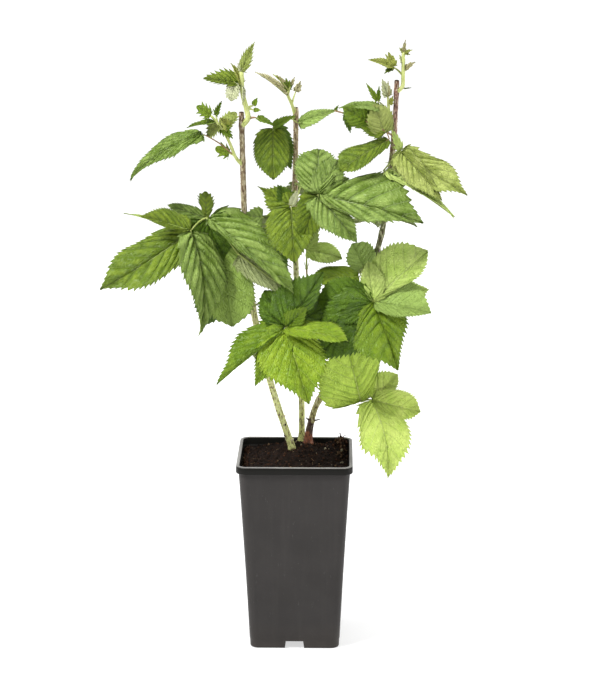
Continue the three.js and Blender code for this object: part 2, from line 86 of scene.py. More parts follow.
def stand_camera():
    data = bpy.data.cameras.new("camera")
    data.sensor_fit = "HORIZONTAL"
    data.sensor_width = SENSOR
    data.lens = SENSOR * FOCAL_PIXELS / PICTURE_WIDTH
    scene.camera = put("camera", data)
    scene.camera.location = CAMERA["place"]
    scene.camera.rotation_euler = (math.pi / 2 - CAMERA["down"], 0, CAMERA["left"])


def hang_lamp(name, place, aim, size, power):
    data = bpy.data.lights.new(name, "AREA")
    data.shape = "RECTANGLE"
    data.size, data.size_y = size
    data.energy = power
    lamp = put(name, data)
    lamp.location = place
    lamp.rotation_euler = (Vector(aim) - Vector(place)).to_track_quat("-Z", "Y").to_euler()
    lamp.visible_camera = False


def light_studio():
    """A white studio: its walls show white, and light the plant less than its lamps do."""
    for name, about in LAMPS.items():
        hang_lamp(name, *about)
    world = scene.world = bpy.data.worlds.new("studio")
    world.use_nodes = True
    net = Net(world.node_tree)
    path = net.node("LightPath").outputs
    sky = world.node_tree.nodes["Background"].inputs
    net.feed(sky["Color"], (1, 1, 1))
    mirrored = net.ramp(path["Is Glossy Ray"], 0, 1, SHOWN_WHITE, MIRRORED_WHITE)
    net.feed(sky["Strength"], net.ramp(path["Is Diffuse Ray"], 0, 1, mirrored, LIGHTING_WHITE))


# ---------------------------------------------------------------- node helpers


class Net:
    """Adds nodes to one tree and wires them as they are made."""

    COLOUR_A, COLOUR_B, MIXED = 6, 7, 2  # a colour mix's sockets by number, as its names stand for several

    def __init__(self, tree):
        self.tree = tree

    def node(self, kind, *given, **settings):
        """A node with its settings, and what its first inputs are given."""
        made = self.tree.nodes.new("ShaderNode" + kind)
        for name, value in settings.items():
            setattr(made, name, value)
        for socket, value in zip(made.inputs, given):
            self.feed(socket, value)
        return made

    def feed(self, socket, value):
        """Links an output to a socket, or sets its value. A colour of three numbers is solid."""
        if hasattr(value, "is_output"):
            self.tree.links.new(value, socket)
        elif socket.type == "RGBA":
            socket.default_value = (*value, 1.0)
        else:
            socket.default_value = value

    def named(self, kind, out, settings, **given):
        """One output, or all of them, of a node whose inputs are given by name."""
        made = self.node(kind, **settings)
        for name, value in given.items():
            self.feed(made.inputs[name.replace("_", " ")], value)
        return made.outputs[out] if out else made.outputs

    def math(self, kind, a, b):
        return self.node("Math", a, b, operation=kind).outputs[0]

    def times(self, a, b):
        return self.math("MULTIPLY", a, b)

    def ramp(self, value, low, high, to_low=0.0, to_high=1.0, smooth=False):
        kind = "SMOOTHSTEP" if smooth else "LINEAR"
        return self.node("MapRange", value, low, high, to_low, to_high, interpolation_type=kind).outputs[0]

    def fade(self, value, low, high):
        """One up to low, and smoothly down to nothing at high."""
        return self.ramp(value, low, high, 1.0, 0.0, smooth=True)

    def mix(self, share, a, b):
        made = self.node("Mix", share, data_type="RGBA")
        self.feed(made.inputs[self.COLOUR_A], a)
        self.feed(made.inputs[self.COLOUR_B], b)
        return made.outputs[self.MIXED]

    def layer(self, colour, over, mask, strength):
        """A colour with another laid over it, where a mask says and so strongly."""
        return self.mix(self.times(mask, strength), colour, over)

    def noise(self, place, scale, detail=2.0, rough=0.5):
        return self.named("TexNoise", "Fac", {}, Vector=place, Scale=scale, Detail=detail, Roughness=rough)

    def cells(self, place, scale, feature="F1"):
        return self.named("TexVoronoi", "Distance", {"feature": feature}, Vector=place, Scale=scale)

    def stretch(self, place, up):
        return self.named("Mapping", "Vector", {}, Vector=place, Scale=(1, 1, up))

    def height(self, place):
        """Height over the floor in millimetres."""
        return self.times(self.node("SeparateXYZ", place).outputs[2], 1 / MM)

    def use(self, group, **given):
        return self.named("Group", None, {"node_tree": group}, **given)

    def surface(self, shader, colour, rough, relief, depth):
        """What changes over a surface: its colour, its roughness and its relief, so deep."""
        self.feed(shader["Base Color"], colour)
        self.feed(shader["Roughness"], rough)
        self.feed(shader["Normal"], self.named("Bump", "Normal", {}, Distance=depth, Height=relief))


def effect(name, takes, make):
    """A node group. takes has each input's kind or usual number, and make returns what goes out."""
    tree = bpy.data.node_groups.new(name, "ShaderNodeTree")
    for label, usual in takes.items():
        kind = usual if isinstance(usual, str) else "Float"
        socket = tree.interface.new_socket(label, in_out="INPUT", socket_type="NodeSocket" + kind)
        if kind == "Float":
            socket.default_value = usual
    net = Net(tree)
    given = make(net, tree.nodes.new("NodeGroupInput").outputs)
    for label, value in given.items():
        kind = "Color" if value.type == "RGBA" else "Float"
        tree.interface.new_socket(label, in_out="OUTPUT", socket_type="NodeSocket" + kind)
    leave = tree.nodes.new("NodeGroupOutput").inputs
    for label, value in given.items():
        net.feed(leave[label], value)
    return tree


def finish_of(name, roughness, specular):
    """A material: returns it, its net, its Principled shader's sockets, and the place on its piece."""
    made = bpy.data.materials.new(name)
    made.use_nodes = True
    shader = made.node_tree.nodes["Principled BSDF"].inputs
    shader["Roughness"].default_value = roughness
    shader["Specular IOR Level"].default_value = specular
    net = Net(made.node_tree)
    return made, net, shader, net.node("TexCoord").outputs["Object"]


def grown(colour, by):
    return tuple(min(1.0, c * by) for c in colour)


# ---------------------------------------------------------------- effects that several finishes share


def vein_net(net, come):
    """Side veins, a net of fine veins between them and the relief of both, from a blade's coordinates, with
    painted shade beside the side veins and along the midrib, and painted light and shade across the puffs
    between the veins.
    """
    along, out, _ = net.node("SeparateXYZ", come["Blade"]).outputs
    count = net.times(along, 10.0)
    away = net.math("PINGPONG", net.math("FRACT", count, 0.0), 0.5)
    side, midrib = net.fade(away, 0.0, come["Vein Width"]), net.fade(out, 0.006, 0.028)
    veins = net.math("MAXIMUM", side, midrib)
    # Painted shade: darker bands beside the side veins, strongest near the midrib, and along the midrib
    # itself.
    beside = net.times(net.fade(away, 0.01, 0.15), net.ramp(out, 0.05, 0.65, 1.0, 0.12))
    # Painted light and shade across the puffs: darker next to each side vein, lighter midway between,
    # strongest near the midrib.
    between = net.ramp(away, 0.06, 0.36, -0.6, 0.5, smooth=True)
    place = net.node("CombineXYZ", net.times(count, 2.6), net.times(out, come["Net Count"])).outputs[0]
    mesh = net.cells(place, 1.0, "DISTANCE_TO_EDGE")
    return {
        "Side Veins": side,
        "Midrib": midrib,
        "Painted Groove Shade": net.math("MAXIMUM", beside, net.fade(out, 0.02, 0.10)),
        "Fine Veins": net.fade(mesh, 0.0, 0.16),
        "Painted Puff Shading": net.times(between, net.ramp(out, 0.3, 1.0, 1.0, 0.35)),
        "Height": net.math("ADD", net.times(veins, 0.6), net.fade(mesh, 0.0, 0.42)),
    }


def mottle(net, come):
    """Soft patches between two colours, with fine specks of the darker one."""
    patches = net.ramp(net.noise(come["Place"], come["Patch Scale"], 3.0, 0.6), 0.32, 0.68)
    specks = net.ramp(net.noise(come["Place"], come["Speck Scale"], 1.0), 0.45, 0.75, 0.0, 0.35)
    share = net.ramp(net.math("SUBTRACT", net.math("ADD", patches, come["Lean"]), specks), 0.0, 1.0)
    return {"Color": net.mix(share, come["Dark"], come["Light"]), "Patches": patches}


def bark_relief(net, come):
    """Fine ridges along a stem with warts, for its colour and its bump."""
    ridges = net.noise(net.stretch(come["Place"], 0.35), come["Ridge Scale"], 3.0, 0.6)
    warts = net.fade(net.cells(net.stretch(come["Place"], 0.7), come["Wart Scale"]), 0.12, 0.38)
    height = net.math("ADD", net.times(ridges, 0.6), net.times(warts, 0.8))
    return {"Ridges": ridges, "Warts": warts, "Height": height}


VEIN_NET = effect("vein net", {"Blade": "Vector", "Vein Width": 0.1, "Net Count": 9.0}, vein_net)
MOTTLE = effect(
    "mottle",
    {"Place": "Vector", "Patch Scale": 60.0, "Speck Scale": 600.0, "Light": "Color", "Dark": "Color",
     "Lean": 0.0},
    mottle)
BARK_RELIEF = effect(
    "bark relief", {"Place": "Vector", "Ridge Scale": 620.0, "Wart Scale": 420.0}, bark_relief)

# ---------------------------------------------------------------- finishes

# A leaf tone: its upper side between the veins, where it is lightest and darkest, its veins, and how strongly
# the veins show and how strongly the painted shade beside them and the painted light and shade on the puffs
# show.
# "deep" is a darkened leaf green that paints shade on leaves that hang behind others, and some leaves that
# hang in shade are given lighter tones, which paints light on them.
TONES = {
    "sage": ((0.275, 0.385, 0.085), (0.118, 0.196, 0.018), (0.46, 0.56, 0.25), 0.30, 0.70),
    "olive": ((0.220, 0.306, 0.018), (0.098, 0.162, 0.006), (0.38, 0.46, 0.13), 0.28, 0.60),
    "deep": ((0.104, 0.196, 0.005), (0.052, 0.112, 0.0025), (0.20, 0.30, 0.06), 0.16, 0.50),
    "blue": ((0.310, 0.450, 0.095), (0.190, 0.285, 0.045), (0.32, 0.45, 0.13), 0.16, 0.15),
    "fresh": ((0.184, 0.285, 0.010), (0.105, 0.192, 0.004), (0.32, 0.44, 0.07), 0.24, 0.45),
    "bright": ((0.275, 0.395, 0.020), (0.162, 0.278, 0.008), (0.50, 0.62, 0.14), 0.50, 0.28),
    "spring": ((0.480, 0.650, 0.085), (0.300, 0.460, 0.040), (0.64, 0.74, 0.24), 0.45, 0.20),
    "lime": ((0.670, 0.810, 0.190), (0.510, 0.690, 0.110), (0.78, 0.86, 0.36), 0.40, 0.06),
    "light": ((0.600, 0.740, 0.210), (0.430, 0.600, 0.110), (0.68, 0.76, 0.34), 0.30, 0.12),
    "gold": ((0.410, 0.475, 0.125), (0.255, 0.325, 0.052), (0.62, 0.66, 0.30), 0.34, 0.30),
    "young": ((0.500, 0.540, 0.120), (0.290, 0.340, 0.045), (0.62, 0.64, 0.32), 0.32, 0.45),
    "silver": ((0.760, 0.790, 0.500), (0.580, 0.630, 0.320), (0.80, 0.82, 0.56), 0.30, 0.20),
    "bronze": ((0.720, 0.690, 0.390), (0.400, 0.370, 0.150), (0.70, 0.66, 0.44), 0.30, 0.40),
}
UNDER_LIGHT, UNDER_DARK, UNDER_VEIN = (0.35, 0.41, 0.165), (0.24, 0.30, 0.095), (0.46, 0.50, 0.26)


def leaf_top(name, light, dark, vein, shown, painted_shading):
    made, net, shader, place = finish_of(name + "_leaf", 0.5, 0.30)
    blade = net.node("UVMap", uv_map="blade").outputs[0]
    tint = net.node("Attribute", attribute_name="tint").outputs["Fac"]
    veins = net.use(VEIN_NET, Blade=blade, Vein_Width=0.05, Net_Count=17.0)
    # The mottle leans darker by the side veins and lighter between them, as painted light and shade on the
    # puffs.
    patchy = net.use(MOTTLE, Place=place, Patch_Scale=75.0, Speck_Scale=900.0, Light=light, Dark=dark,
                     Lean=net.math("ADD", tint, net.times(veins["Painted Puff Shading"], painted_shading)))
    # Painted shade: half the dark tone laid in the grooves beside the side veins and along the midrib.
    colour = net.layer(patchy["Color"], grown(dark, 0.50), veins["Painted Groove Shade"], painted_shading)
    colour = net.layer(colour, grown(dark, 0.75), veins["Fine Veins"], 0.30)
    colour = net.layer(colour, vein, veins["Side Veins"], shown)
    colour = net.layer(colour, vein, veins["Midrib"], min(1.0, shown + 0.15))
    rough = net.ramp(patchy["Patches"], 0.0, 1.0, 0.42, 0.55)
    net.surface(shader, colour, rough, net.times(veins["Height"], -1.0), 0.0008)
    return made


def leaf_under():
    made, net, shader, place = finish_of("leaf_underside", 0.72, 0.2)
    blade = net.node("UVMap", uv_map="blade").outputs[0]
    tint = net.node("Attribute", attribute_name="tint").outputs["Fac"]
    veins = net.use(VEIN_NET, Blade=blade, Vein_Width=0.08, Net_Count=17.0)
    patchy = net.use(MOTTLE, Place=place, Patch_Scale=60.0, Speck_Scale=1100.0, Light=UNDER_LIGHT,
                     Dark=UNDER_DARK, Lean=tint)
    colour = net.layer(patchy["Color"], UNDER_VEIN, veins["Fine Veins"], 0.3)
    colour = net.layer(colour, UNDER_VEIN, net.math("MAXIMUM", veins["Side Veins"], veins["Midrib"]), 0.6)
    net.surface(shader, colour, net.ramp(patchy["Patches"], 0.0, 1.0, 0.66, 0.8), veins["Height"], 0.0009)
    return made


# A stem's finish: its light and dark colours, and that of its specks.
STEMS = {
    "green_stalk": ((0.42, 0.48, 0.14), (0.25, 0.32, 0.06), (0.32, 0.22, 0.09)),
    "red_stalk": ((0.36, 0.26, 0.12), (0.22, 0.11, 0.06), (0.12, 0.05, 0.03)),
    "shoot_stem": ((0.58, 0.62, 0.26), (0.40, 0.46, 0.12), (0.42, 0.32, 0.14)),
    "pale_prickle": ((0.66, 0.62, 0.42), (0.50, 0.45, 0.28), (0.34, 0.24, 0.14)),
    "brown_prickle": ((0.34, 0.23, 0.15), (0.20, 0.12, 0.08), (0.10, 0.05, 0.04)),
    "dark_stub": ((0.060, 0.035, 0.020), (0.020, 0.012, 0.008), (0.01, 0.008, 0.006)),
}


def stem_finish(name, light, dark, speck):
    made, net, shader, place = finish_of(name, 0.55, 0.4)
    place = net.stretch(place, 0.35)
    patchy = net.use(MOTTLE, Place=place, Patch_Scale=240.0, Speck_Scale=1500.0, Light=light, Dark=dark)
    colour = net.layer(patchy["Color"], speck, net.ramp(net.cells(place, 700.0), 0.12, 0.3, 1.0, 0.0), 0.5)
    net.surface(shader, colour, net.ramp(patchy["Patches"], 0.0, 1.0, 0.45, 0.65), patchy["Patches"], 0.0003)
    return made


# A cane's bark: the colour of its specks, and its colours from the foot up, each after the height where it
# is full.
BARK = {
    "left": ((0.10, 0.055, 0.030), (
        (200, 0.54, 0.57, 0.22), (260, 0.64, 0.69, 0.26), (330, 0.60, 0.63, 0.23), (420, 0.38, 0.37, 0.17),
        (480, 0.29, 0.22, 0.125), (530, 0.27, 0.22, 0.115), (552, 0.14, 0.085, 0.055))),
    "middle": ((0.10, 0.055, 0.035), (
        (200, 0.60, 0.64, 0.22), (260, 0.66, 0.70, 0.24), (380, 0.58, 0.63, 0.26), (430, 0.42, 0.40, 0.19),
        (480, 0.34, 0.25, 0.14), (540, 0.29, 0.22, 0.11), (556, 0.30, 0.22, 0.12))),
    "right": ((0.07, 0.035, 0.025), (
        (200, 0.25, 0.078, 0.036), (211, 0.27, 0.090, 0.042), (216, 0.055, 0.028, 0.020),
        (226, 0.050, 0.028, 0.020), (229, 0.34, 0.30, 0.13), (236, 0.36, 0.34, 0.12), (300, 0.29, 0.29, 0.08),
        (390, 0.13, 0.15, 0.05), (440, 0.10, 0.12, 0.04), (470, 0.20, 0.22, 0.07), (508, 0.22, 0.23, 0.08),
        (522, 0.27, 0.145, 0.095), (560, 0.30, 0.175, 0.135), (580, 0.19, 0.09, 0.06))),
    "young": ((0.20, 0.10, 0.06), ((260, 0.36, 0.38, 0.14), (400, 0.36, 0.28, 0.13))),
}
BARK_STREAK = (0.62, 0.57, 0.40)


def bark_finish(name, speck, steps):
    made, net, shader, place = finish_of(name + "_bark", 0.6, 0.35)
    height = net.math("ADD", net.height(place), net.ramp(net.noise(place, 90.0), 0.0, 1.0, -14.0, 14.0))
    colour = steps[0][1:]
    for (low, *_), (high, *tone) in zip(steps, steps[1:]):
        colour = net.mix(net.ramp(height, low, high), colour, tone)
    relief = net.use(BARK_RELIEF, Place=place)
    colour = net.mix(net.ramp(relief["Ridges"], 0.52, 0.60, 0.0, 0.9), colour, speck)
    streaks = net.ramp(relief["Ridges"], 0.47, 0.39, 0.0, 0.7)
    colour = net.layer(colour, BARK_STREAK, streaks, net.ramp(height, 220.0, 232.0, 0.1, 1.0))
    colour = net.layer(colour, speck, relief["Warts"], 0.5)
    net.surface(shader, colour, net.ramp(relief["Ridges"], 0.3, 0.7, 0.5, 0.75), relief["Height"], 0.0006)
    return made


# The pruned ends: the wood's dark and light colours.
CUTS = {
    "cut_wood": ((0.020, 0.012, 0.008), (0.09, 0.055, 0.035)),
    "pith": ((0.10, 0.06, 0.035), (0.30, 0.22, 0.13)),
}


def cut_finish(name, dark, light):
    made, net, shader, place = finish_of(name, 0.85, 0.2)
    patchy = net.use(MOTTLE, Place=place, Patch_Scale=900.0, Speck_Scale=2500.0, Light=light, Dark=dark)
    rough = net.ramp(patchy["Patches"], 0.0, 1.0, 0.75, 0.95)
    net.surface(shader, patchy["Color"], rough, patchy["Patches"], 0.0003)
    return made


# The plastic's colours: the near-black one for the rim's outer band is painted shade, and the pale one for
# the lip's top edge is a painted highlight.
PLASTIC = {
    "dark": (0.0365, 0.0338, 0.0325), "pale": (0.0425, 0.0392, 0.0378), "streak": (0.058, 0.053, 0.050),
    "scuff": (0.12, 0.117, 0.113), "dust": (0.085, 0.070, 0.055), "skirt": (0.008, 0.0078, 0.0065),
    "lip_highlight": (0.26, 0.253, 0.243)}


def pot_finish():
    """Black plastic, clouded and finely streaked, with painted shade on the rim's outer band, a painted
    highlight along the lip and dust at the foot.
    """
    made, net, shader, place = finish_of("pot_plastic", 0.3, 0.10)
    clouds = net.noise(place, 22.0, 4.0, 0.6)
    streaks = net.noise(net.stretch(place, 0.06), 160.0, 3.0)
    scuffs = net.ramp(net.noise(net.stretch(place, 0.4), 420.0, 2.0, 0.7), 0.66, 0.78)
    height = net.height(place)
    top, skirt = POT["height"], POT["height"] - POT["rim_drop"]
    colour = net.mix(net.ramp(clouds, 0.35, 0.65), PLASTIC["dark"], PLASTIC["pale"])
    colour = net.mix(net.ramp(streaks, 0.5, 0.8, 0.0, 0.25), colour, PLASTIC["streak"])
    colour = net.layer(colour, PLASTIC["scuff"], scuffs, 0.22)
    colour = net.layer(colour, PLASTIC["dust"], net.ramp(height, 3.0, 30.0, 0.35, 0.0), clouds)
    # Painted shade: the rim's outer band, from the skirt's height up, is darkened almost to the near-black.
    colour = net.mix(net.ramp(height, skirt - 0.6, skirt + 0.4, 0.0, 0.92), colour, PLASTIC["skirt"])
    # Painted highlight: a thin pale band along the lip's top edge, broken up by the clouds.
    lip = net.ramp(height, top - 0.7, top - 0.25)
    colour = net.layer(colour, PLASTIC["lip_highlight"], lip, net.ramp(clouds, 0.3, 0.5, 0.5, 1.0))
    rough, grain = net.ramp(clouds, 0.3, 0.7, 0.28, 0.38), net.noise(place, 1600.0, 2.0)
    net.surface(shader, colour, rough, grain, 0.00012)
    return made


# The peat and its crumbs: their light and dark colours.
PEATS = {
    "peat": ((0.024, 0.013, 0.009), (0.008, 0.005, 0.004)),
    "brown_crumb": ((0.085, 0.036, 0.018), (0.026, 0.012, 0.007)),
    "tan_crumb": ((0.20, 0.13, 0.075), (0.09, 0.055, 0.03)),
    "pale_crumb": ((0.42, 0.38, 0.28), (0.24, 0.20, 0.13)),
}


def peat_finish(name, light, dark):
    made, net, shader, place = finish_of(name, 0.95, 0.15)
    patchy = net.use(MOTTLE, Place=place, Patch_Scale=180.0, Speck_Scale=900.0, Light=light, Dark=dark)
    crumbs = net.noise(place, 700.0, 4.0, 0.7)
    colour = net.mix(net.ramp(crumbs, 0.62, 0.75, 0.0, 0.5), patchy["Color"], grown(light, 2.2))
    net.surface(shader, colour, net.ramp(crumbs, 0.3, 0.7, 0.85, 1.0), crumbs, 0.0015)
    return made


def floor_finish():
    """A pale floor that glows, more so away from the pot, and so fades into the studio's white."""
    made, net, shader, place = finish_of("pale_floor", 0.7, 0.2)
    net.feed(shader["Base Color"], net.mix(net.noise(place, 3.0), (0.44, 0.44, 0.44), (0.46, 0.46, 0.457)))
    far = net.node("VectorMath", place, operation="LENGTH").outputs["Value"]
    glow = net.ramp(far, 0.15, 1.1, 0.62, 0.90, smooth=True)
    net.feed(shader["Emission Color"], net.mix(glow, (0, 0, 0), (1, 1, 1)))
    shader["Emission Strength"].default_value = 1.0
    return made


FINISHES = {name: leaf_top(name, *about) for name, about in TONES.items()}
FINISHES["under"] = leaf_under()
FINISHES["pot_plastic"] = pot_finish()
for rows, make in ((STEMS, stem_finish), (CUTS, cut_finish), (PEATS, peat_finish)):
    FINISHES.update({name: make(name, *about) for name, about in rows.items()})
FINISHES.update({name + "_bark": bark_finish(name, *about) for name, about in BARK.items()})

# ---------------------------------------------------------------- the plant's own sizes

# A cane's middle line as (height, x, y), its radius at the foot and at the cut, and how far its foot flares.
FOOT = SOIL["mound"] + GAP
FLARE_HEIGHT = 14
CANES = {
    "left": {"line": [(FOOT, -4, 14), (245, -18, 11), (281, -28, 8), (349, -43, 5), (409, -49, 2),
                      (460, -52, 0), (508, -53, -3), (556, -54, -6)], "radius": (3.6, 2.7), "flare": 0.5},
    "middle": {"line": [(FOOT, 6, 44), (236, 6, 42), (312, 3, 38), (392, 0, 35), (461, -1, 34),
                        (531, 0, 34), (556, 0, 34)], "radius": (3.2, 2.6), "flare": 1.2},
    "right": {"line": [(FOOT, 13, 30), (224, 16, 27), (243, 21, 24), (270, 34, 20), (339, 60, 14),
                       (406, 82, 9), (440, 90, 6), (503, 97, 2), (535, 100, 0), (588, 102, -4)],
              "radius": (3.4, 2.4), "flare": 2.2},
    "young": {"line": [(265, 34.2, 24.3), (273, 29, 27), (325, 19, 30), (378, 12, 27), (397, 11, 26)],
              "radius": (1.1, 0.9), "flare": 0},
}


def leaf(to, wide, turn, rise, tone, **more):
    """A leaflet from its joint to a place, so wide, its upper side looking so many degrees right and up."""
    return {"to": to, "wide": wide, "faces": (turn, rise), "tone": tone, **more}


def joint(reach, *leaflets):
    return {"reach": reach, "leaflets": leaflets}


def leafy(cane, height, *joints, **more):
    """A leaf: where its stalk leaves its cane, and its joints from there on, each from the one before."""
    return {"cane": cane, "height": height, "joints": joints, **more}


def shoot(cane, height, radius, tip, *joints, sink=4):
    """A shoot: like a leaf, on a stem so thick at its foot and its tip, that starts so far lower."""
    return leafy(cane, height, *joints, radius=radius, tip=tip, sink=sink, stem="shoot_stem")


# "left" and "right" give half a blade's width, in hundredths of half its own, at these shares of its length.
# They are told looking from the joint to the tip, with the upper side up.
PROFILE_AT = (0, 0.1, 0.25, 0.4, 0.55, 0.7, 0.85, 1)
BLUNT = (70, 95, 100, 100, 92, 72)
OVAL = (55, 85, 100, 100, 86, 55)

